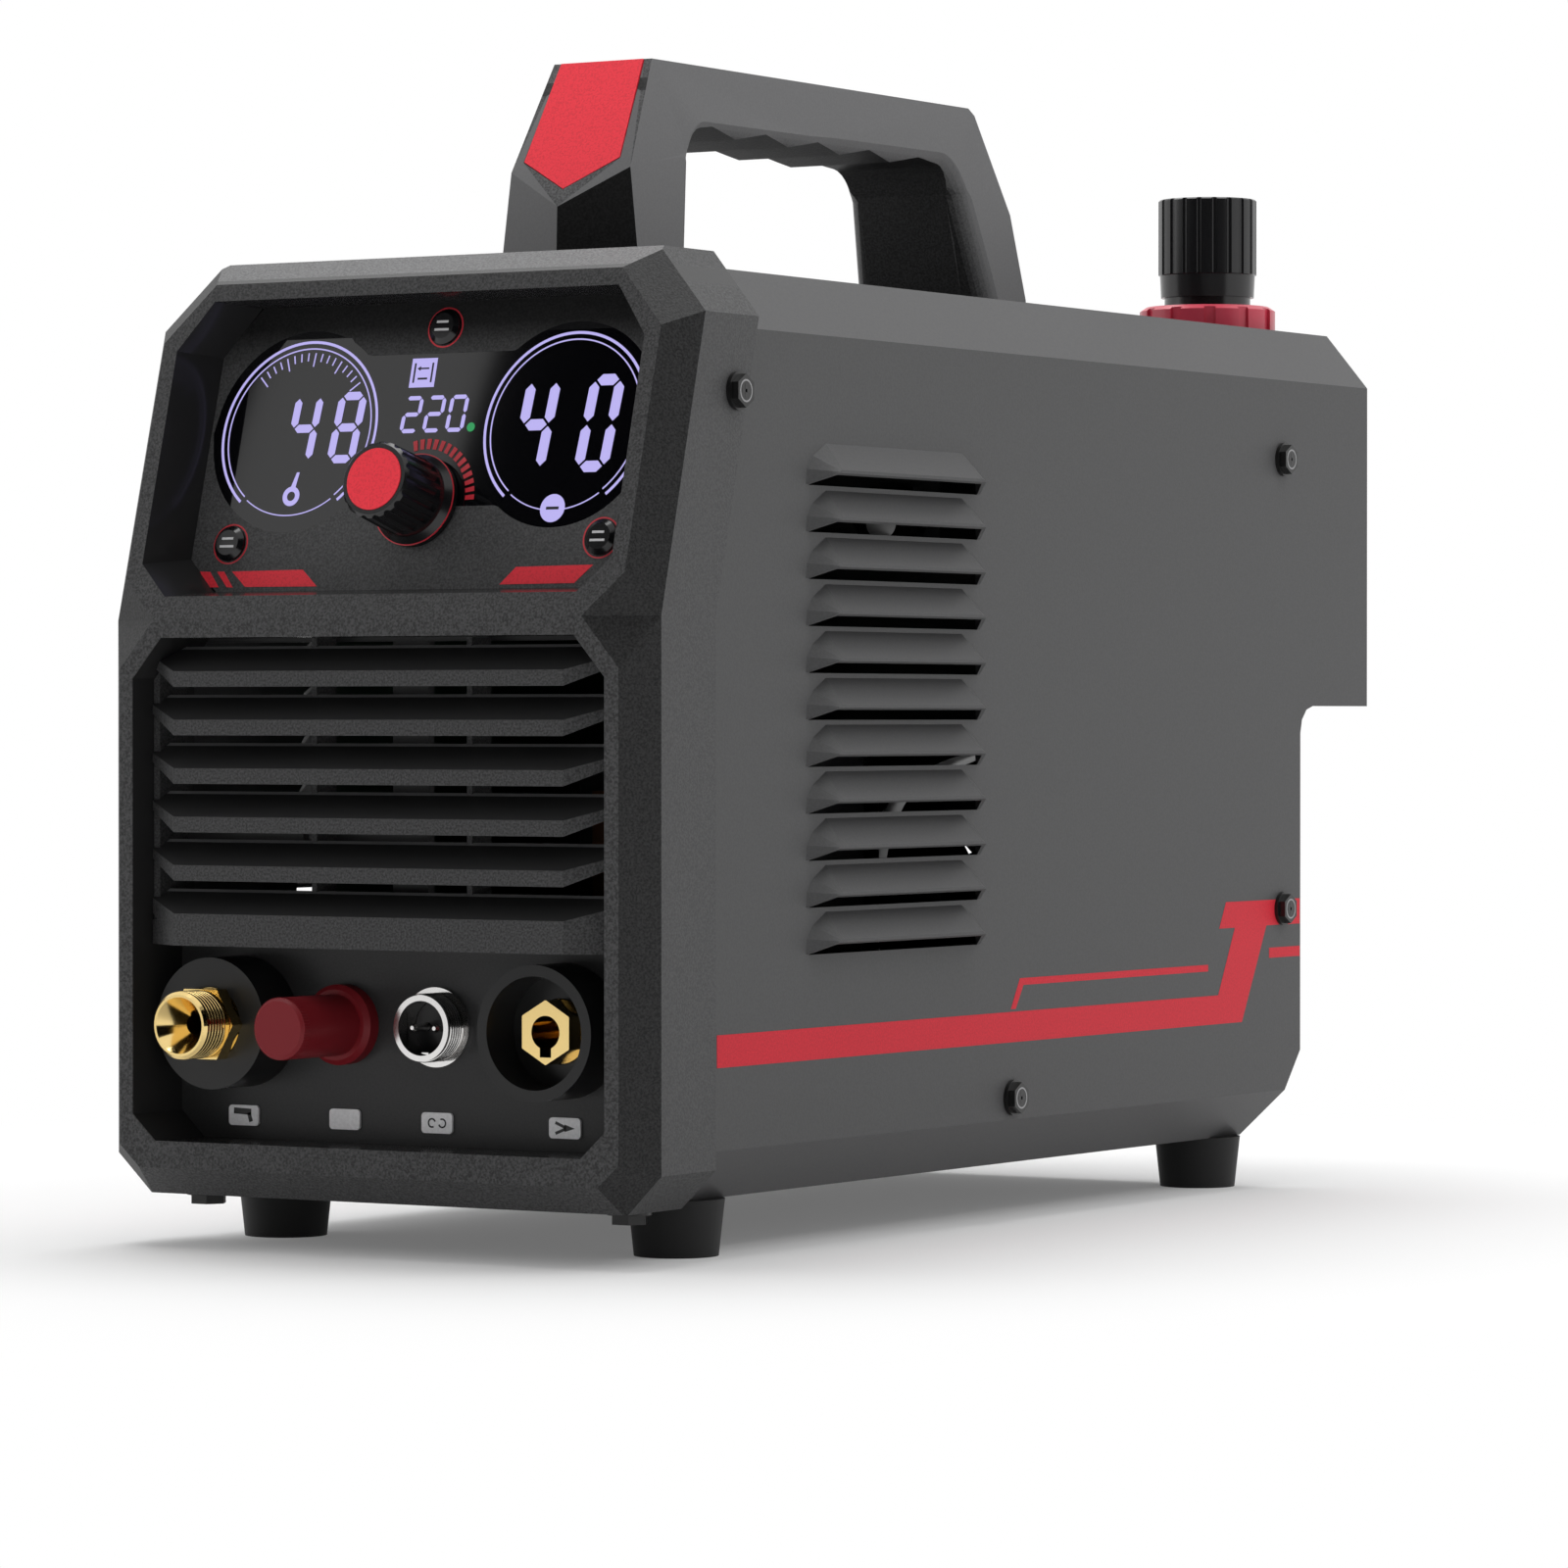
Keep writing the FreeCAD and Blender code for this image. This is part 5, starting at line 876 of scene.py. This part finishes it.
# painted stripes on both sides of the cover
STRIPES = [
    [(36.5, 46.1), (305.0, 46.1), (319.5, 72.1), (339.6, 72.1), (339.6, 79.1), (295.7, 79.1),
     (291.8, 72.0), (300.9, 72.0), (291.2, 53.9), (36.5, 53.9)],
    [(321.2, 63.1), (339.6, 63.1), (339.6, 65.9), (321.2, 65.9)],
    [(177.5, 54.6), (180.0, 54.6), (184.0, 60.6), (285.3, 60.6), (285.3, 62.4), (182.2, 62.4)],
]
PAINT = 0.06
for side, name in ((1, "right"), (-1, "left")):
    wall = place_on(Vector((COVER_HALF * side, RIM_Y, 0)), (0, side, 0), (0, 0, 1))
    shapes = [[(y * side, z) for y, z in shape[::side]] for shape in STRIPES]
    thin(f"{name}_stripes", shapes, wall, 0.0, PAINT, "stripe")


# threads, knurl, screw heads with a painted glint round the rim and painted shade for the cross
# recess, and signs
def axis_of(node):
    low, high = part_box(node)
    return (low.x + high.x) / 2, (low.z + high.z) / 2


def ring(name, node, depth, radius, thick, look, body="unit"):
    """A round ring about a socket's axis, at a depth in mm from the rim."""
    cx, cz = axis_of(node)
    bpy.ops.mesh.primitive_torus_add(
        major_radius=radius * MM, minor_radius=thick * MM, major_segments=72, minor_segments=10,
        rotation=(math.pi / 2, 0, 0), location=(cx, RIM_Y + depth * MM, cz))
    made = bpy.context.object
    made.name = name
    made.data.materials.append(MATS[look])
    bpy.ops.object.shade_smooth()
    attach(made, body)


def thread(name, node, first, last, pitch, radius, look):
    """Rings for a thread's crests, from one depth in mm to another."""
    for i in range(int((last - first) / pitch) + 1):
        ring(f"{name}_{i}", node, first + pitch * i, radius, pitch * 0.36, look)


thread("torch_thread", "torch_socket_fitting", -5.0, 1.2, 1.15, 7.95, "brass")
thread("trigger_thread", "trigger_socket_shell", 14.0, 18.2, 0.95, 7.98, "chrome")


def knurl(name, node, start, end, radius, count, look, body):
    """Fine teeth round a socket's axis, from one depth in mm to another."""
    cx, cz = axis_of(node)
    verts = []
    faces = []
    for i in range(count):
        for depth in (start, end):
            for share, reach in ((-0.5, -0.12), (0, 0.14), (0.5, -0.12)):
                turn = 2 * math.pi * (i + share) / count
                r = (radius + reach) * MM
                verts.append((cx + r * math.cos(turn), RIM_Y + depth * MM, cz + r * math.sin(turn)))
        a = i * 6
        faces += [(a, a + 1, a + 2), (a + 5, a + 4, a + 3), (a, a + 3, a + 4, a + 1),
                  (a + 1, a + 4, a + 5, a + 2), (a + 2, a + 5, a + 3, a)]
    obj = mesh_object(name, verts, faces, look)
    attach(obj, body)


knurl("cap_knurl", "pilot_post_cap", -7.3, -5.0, 7.42, 64, "post", "post_cap")

BEZEL_HALF = 0.0796
SCREW_SPOTS = [(BEZEL_HALF, 41.1, 207), (COVER_HALF, 329.2, 200.6), (COVER_HALF, 328.9, 76.5),
               (COVER_HALF, 178.3, 31.9)]
HEAD, SCREW_PRINT = 2.8, 0.03
for side in (1, -1):
    for index, (x, y, z) in enumerate(SCREW_SPOTS):
        spot = place_on(Vector((x * side, RIM_Y + y * MM, z * MM)), (0, side, 0), (0, 0, 1))
        hand = "right" if side > 0 else "left"
        # a pale ring on each head's rim is a painted highlight, and a flat black cross is painted
        # shade for its cross recess
        thin(f"screw_rim_{hand}_{index}", arc(0, 0, 2.35, 2.75, 0, 360, 32),
             spot, HEAD, SCREW_PRINT, "screw_rim_glint")
        thin(f"screw_recess_shade_{hand}_{index}", [rule(-1.7, 0, 1.7, 0, 0.8), rule(0, -1.7, 0, 1.7, 0.8)],
             spot, HEAD, SCREW_PRINT, "print_black")

WALL = place_on(Vector((0, PANEL_Y, 0)), (1, 0, 0), (0, 0, 1))
PLATE_TOP = 0.62
thin("torch_sign", [rule(-52.6, 32.8, -47.4, 32.6, 1.5), rule(-48.1, 32.4, -47.4, 30.2, 1.1)],
     WALL, PLATE_TOP, PRINT, "print_black")
thin("trigger_sign", arc(6.6, 31.7, 0.8, 1.2, 20, 300, 20) + arc(9.6, 31.7, 0.8, 1.2, 200, 480, 20),
     WALL, PLATE_TOP, PRINT, "print_black")
thin("earth_sign", [rule(42.4, 33.0, 45.4, 31.8, 0.7), rule(42.4, 30.4, 45.4, 31.6, 0.7),
                    [(45.0, 32.6), (47.9, 31.7), (45.0, 30.8)]],
     WALL, PLATE_TOP, PRINT, "print_black")


# floor: pale, with the object's shadow near it, and plain white further away
def link_white(tree, share_out, base_out, target):
    """Mix a shader with plain white, which the camera, mirrors and glass see, by a share."""
    white = tree.nodes.new("ShaderNodeEmission")
    white.inputs["Color"].default_value = (1, 1, 1, 1)
    white.inputs["Strength"].default_value = 1.0
    mix = tree.nodes.new("ShaderNodeMixShader")
    tree.links.new(share_out, mix.inputs["Fac"])
    tree.links.new(base_out, mix.inputs[1])
    tree.links.new(white.outputs[0], mix.inputs[2])
    tree.links.new(mix.outputs[0], target)


def seen_rays(tree):
    """1 for camera, glossy and transmission rays."""
    path = tree.nodes.new("ShaderNodeLightPath")
    seen = path.outputs["Is Camera Ray"]
    for kind in ("Is Glossy Ray", "Is Transmission Ray"):
        most = tree.nodes.new("ShaderNodeMath")
        most.operation = "MAXIMUM"
        tree.links.new(seen, most.inputs[0])
        tree.links.new(path.outputs[kind], most.inputs[1])
        seen = most.outputs[0]
    return seen


bpy.ops.mesh.primitive_plane_add(size=30, location=(0, 0, 0))
floor = bpy.context.object
floor.name = "floor"
floor_mat = bpy.data.materials.new("floor_pale")
floor_mat.use_nodes = True
tree = floor_mat.node_tree
surface = tree.nodes["Principled BSDF"]
surface.inputs["Base Color"].default_value = (0.90, 0.90, 0.90, 1)
surface.inputs["Roughness"].default_value = 0.9
surface.inputs["Specular IOR Level"].default_value = 0.1
coords = tree.nodes.new("ShaderNodeTexCoord")
distance = tree.nodes.new("ShaderNodeVectorMath")
distance.operation = "LENGTH"
tree.links.new(coords.outputs["Object"], distance.inputs[0])
fade = tree.nodes.new("ShaderNodeMapRange")
fade.interpolation_type = "SMOOTHSTEP"
FADE_START, FADE_END, LEAST_WHITE = 0.20, 0.42, 0.14
fade.inputs["From Min"].default_value = FADE_START
fade.inputs["From Max"].default_value = FADE_END
fade.inputs["To Min"].default_value = LEAST_WHITE
tree.links.new(distance.outputs["Value"], fade.inputs["Value"])
share = tree.nodes.new("ShaderNodeMath")
share.operation = "MULTIPLY"
tree.links.new(fade.outputs["Result"], share.inputs[0])
tree.links.new(seen_rays(tree), share.inputs[1])
link_white(tree, share.outputs[0], surface.outputs[0],
           tree.nodes["Material Output"].inputs["Surface"])
floor.data.materials.append(floor_mat)

# soft surroundings, which the camera, mirrors and glass see as plain white
world = bpy.data.worlds.new("studio")
bpy.context.scene.world = world
world.use_nodes = True
tree = world.node_tree
soft = tree.nodes["Background"]
soft.inputs["Color"].default_value = (1, 1, 1, 1)
soft.inputs["Strength"].default_value = 0.38
plain_white = tree.nodes.new("ShaderNodeBackground")
plain_white.inputs["Color"].default_value = (1, 1, 1, 1)
plain_white.inputs["Strength"].default_value = 1.0
mix = tree.nodes.new("ShaderNodeMixShader")
tree.links.new(seen_rays(tree), mix.inputs["Fac"])
tree.links.new(soft.outputs[0], mix.inputs[1])
tree.links.new(plain_white.outputs[0], mix.inputs[2])
tree.links.new(mix.outputs[0], tree.nodes["World Output"].inputs["Surface"])


# studio lamps
def lamp(name, location, target, size, energy):
    data = bpy.data.lights.new(name, "AREA")
    data.shape = "RECTANGLE"
    data.size, data.size_y = size
    data.energy = energy
    obj = bpy.data.objects.new(name, data)
    obj.location = location
    way = Vector(target) - Vector(location)
    obj.rotation_euler = way.to_track_quat("-Z", "Y").to_euler()
    bpy.context.collection.objects.link(obj)


lamp("top_soft", (-0.3, 0.3, 1.6), (0, 0, 0.1), (1.4, 1.4), 24)
lamp("left_soft", (-1.5, -1.0, 0.9), (0, 0, 0.15), (1.0, 1.0), 4.2)
lamp("right_soft", (0.95, 0.45, 1.25), (0.08, 0.05, 0.2), (0.8, 0.8), 5.5)

# dark screens, which only reflections see
dark_cloth = bpy.data.materials.new("screen_black")
dark_cloth.use_nodes = True
cloth = dark_cloth.node_tree.nodes["Principled BSDF"]
cloth.inputs["Base Color"].default_value = (0.002, 0.002, 0.002, 1)
cloth.inputs["Roughness"].default_value = 1.0
cloth.inputs["Specular IOR Level"].default_value = 0.0


def screen(name, corners):
    obj = mesh_object(name, corners, [(0, 1, 2, 3)])
    obj.data.materials.append(dark_cloth)
    obj.visible_camera = False
    obj.visible_diffuse = False
    obj.visible_shadow = False
    obj.visible_transmission = False


# the gap between the first two shows as the pale part of the display's reflection
SCREEN_Y, SCREEN_LOW, SCREEN_HIGH, CORNER_X = -1.85, 0.02, 2.4, 1.6
screen("front_screen", [(-1.355, SCREEN_Y, SCREEN_LOW), (CORNER_X, SCREEN_Y, SCREEN_LOW),
                        (CORNER_X, SCREEN_Y, SCREEN_HIGH), (-1.395, SCREEN_Y, SCREEN_HIGH)])
screen("left_screen", [(-1.545, SCREEN_Y, SCREEN_LOW), (-1.565, SCREEN_Y, SCREEN_HIGH),
                       (-SCREEN_HIGH, SCREEN_Y, SCREEN_HIGH), (-SCREEN_HIGH, SCREEN_Y, SCREEN_LOW)])
screen("right_screen", [(CORNER_X, SCREEN_Y, SCREEN_LOW), (2.5, -0.55, SCREEN_LOW),
                        (2.5, -0.55, 2.0), (CORNER_X, SCREEN_Y, 2.0)])

# camera
CAMERA_TURN, CAMERA_TILT = math.radians(31.70), math.radians(-0.618)
camera_data = bpy.data.cameras.new("camera")
camera_data.lens = 145.96
camera_data.sensor_width = 36
camera = bpy.data.objects.new("camera", camera_data)
camera.location = (0.8834, -1.4255, 0.1299)
camera.rotation_euler = Euler((math.radians(90) + CAMERA_TILT, 0, CAMERA_TURN))
bpy.context.collection.objects.link(camera)
bpy.context.scene.camera = camera
bpy.context.scene.view_settings.view_transform = "Standard"
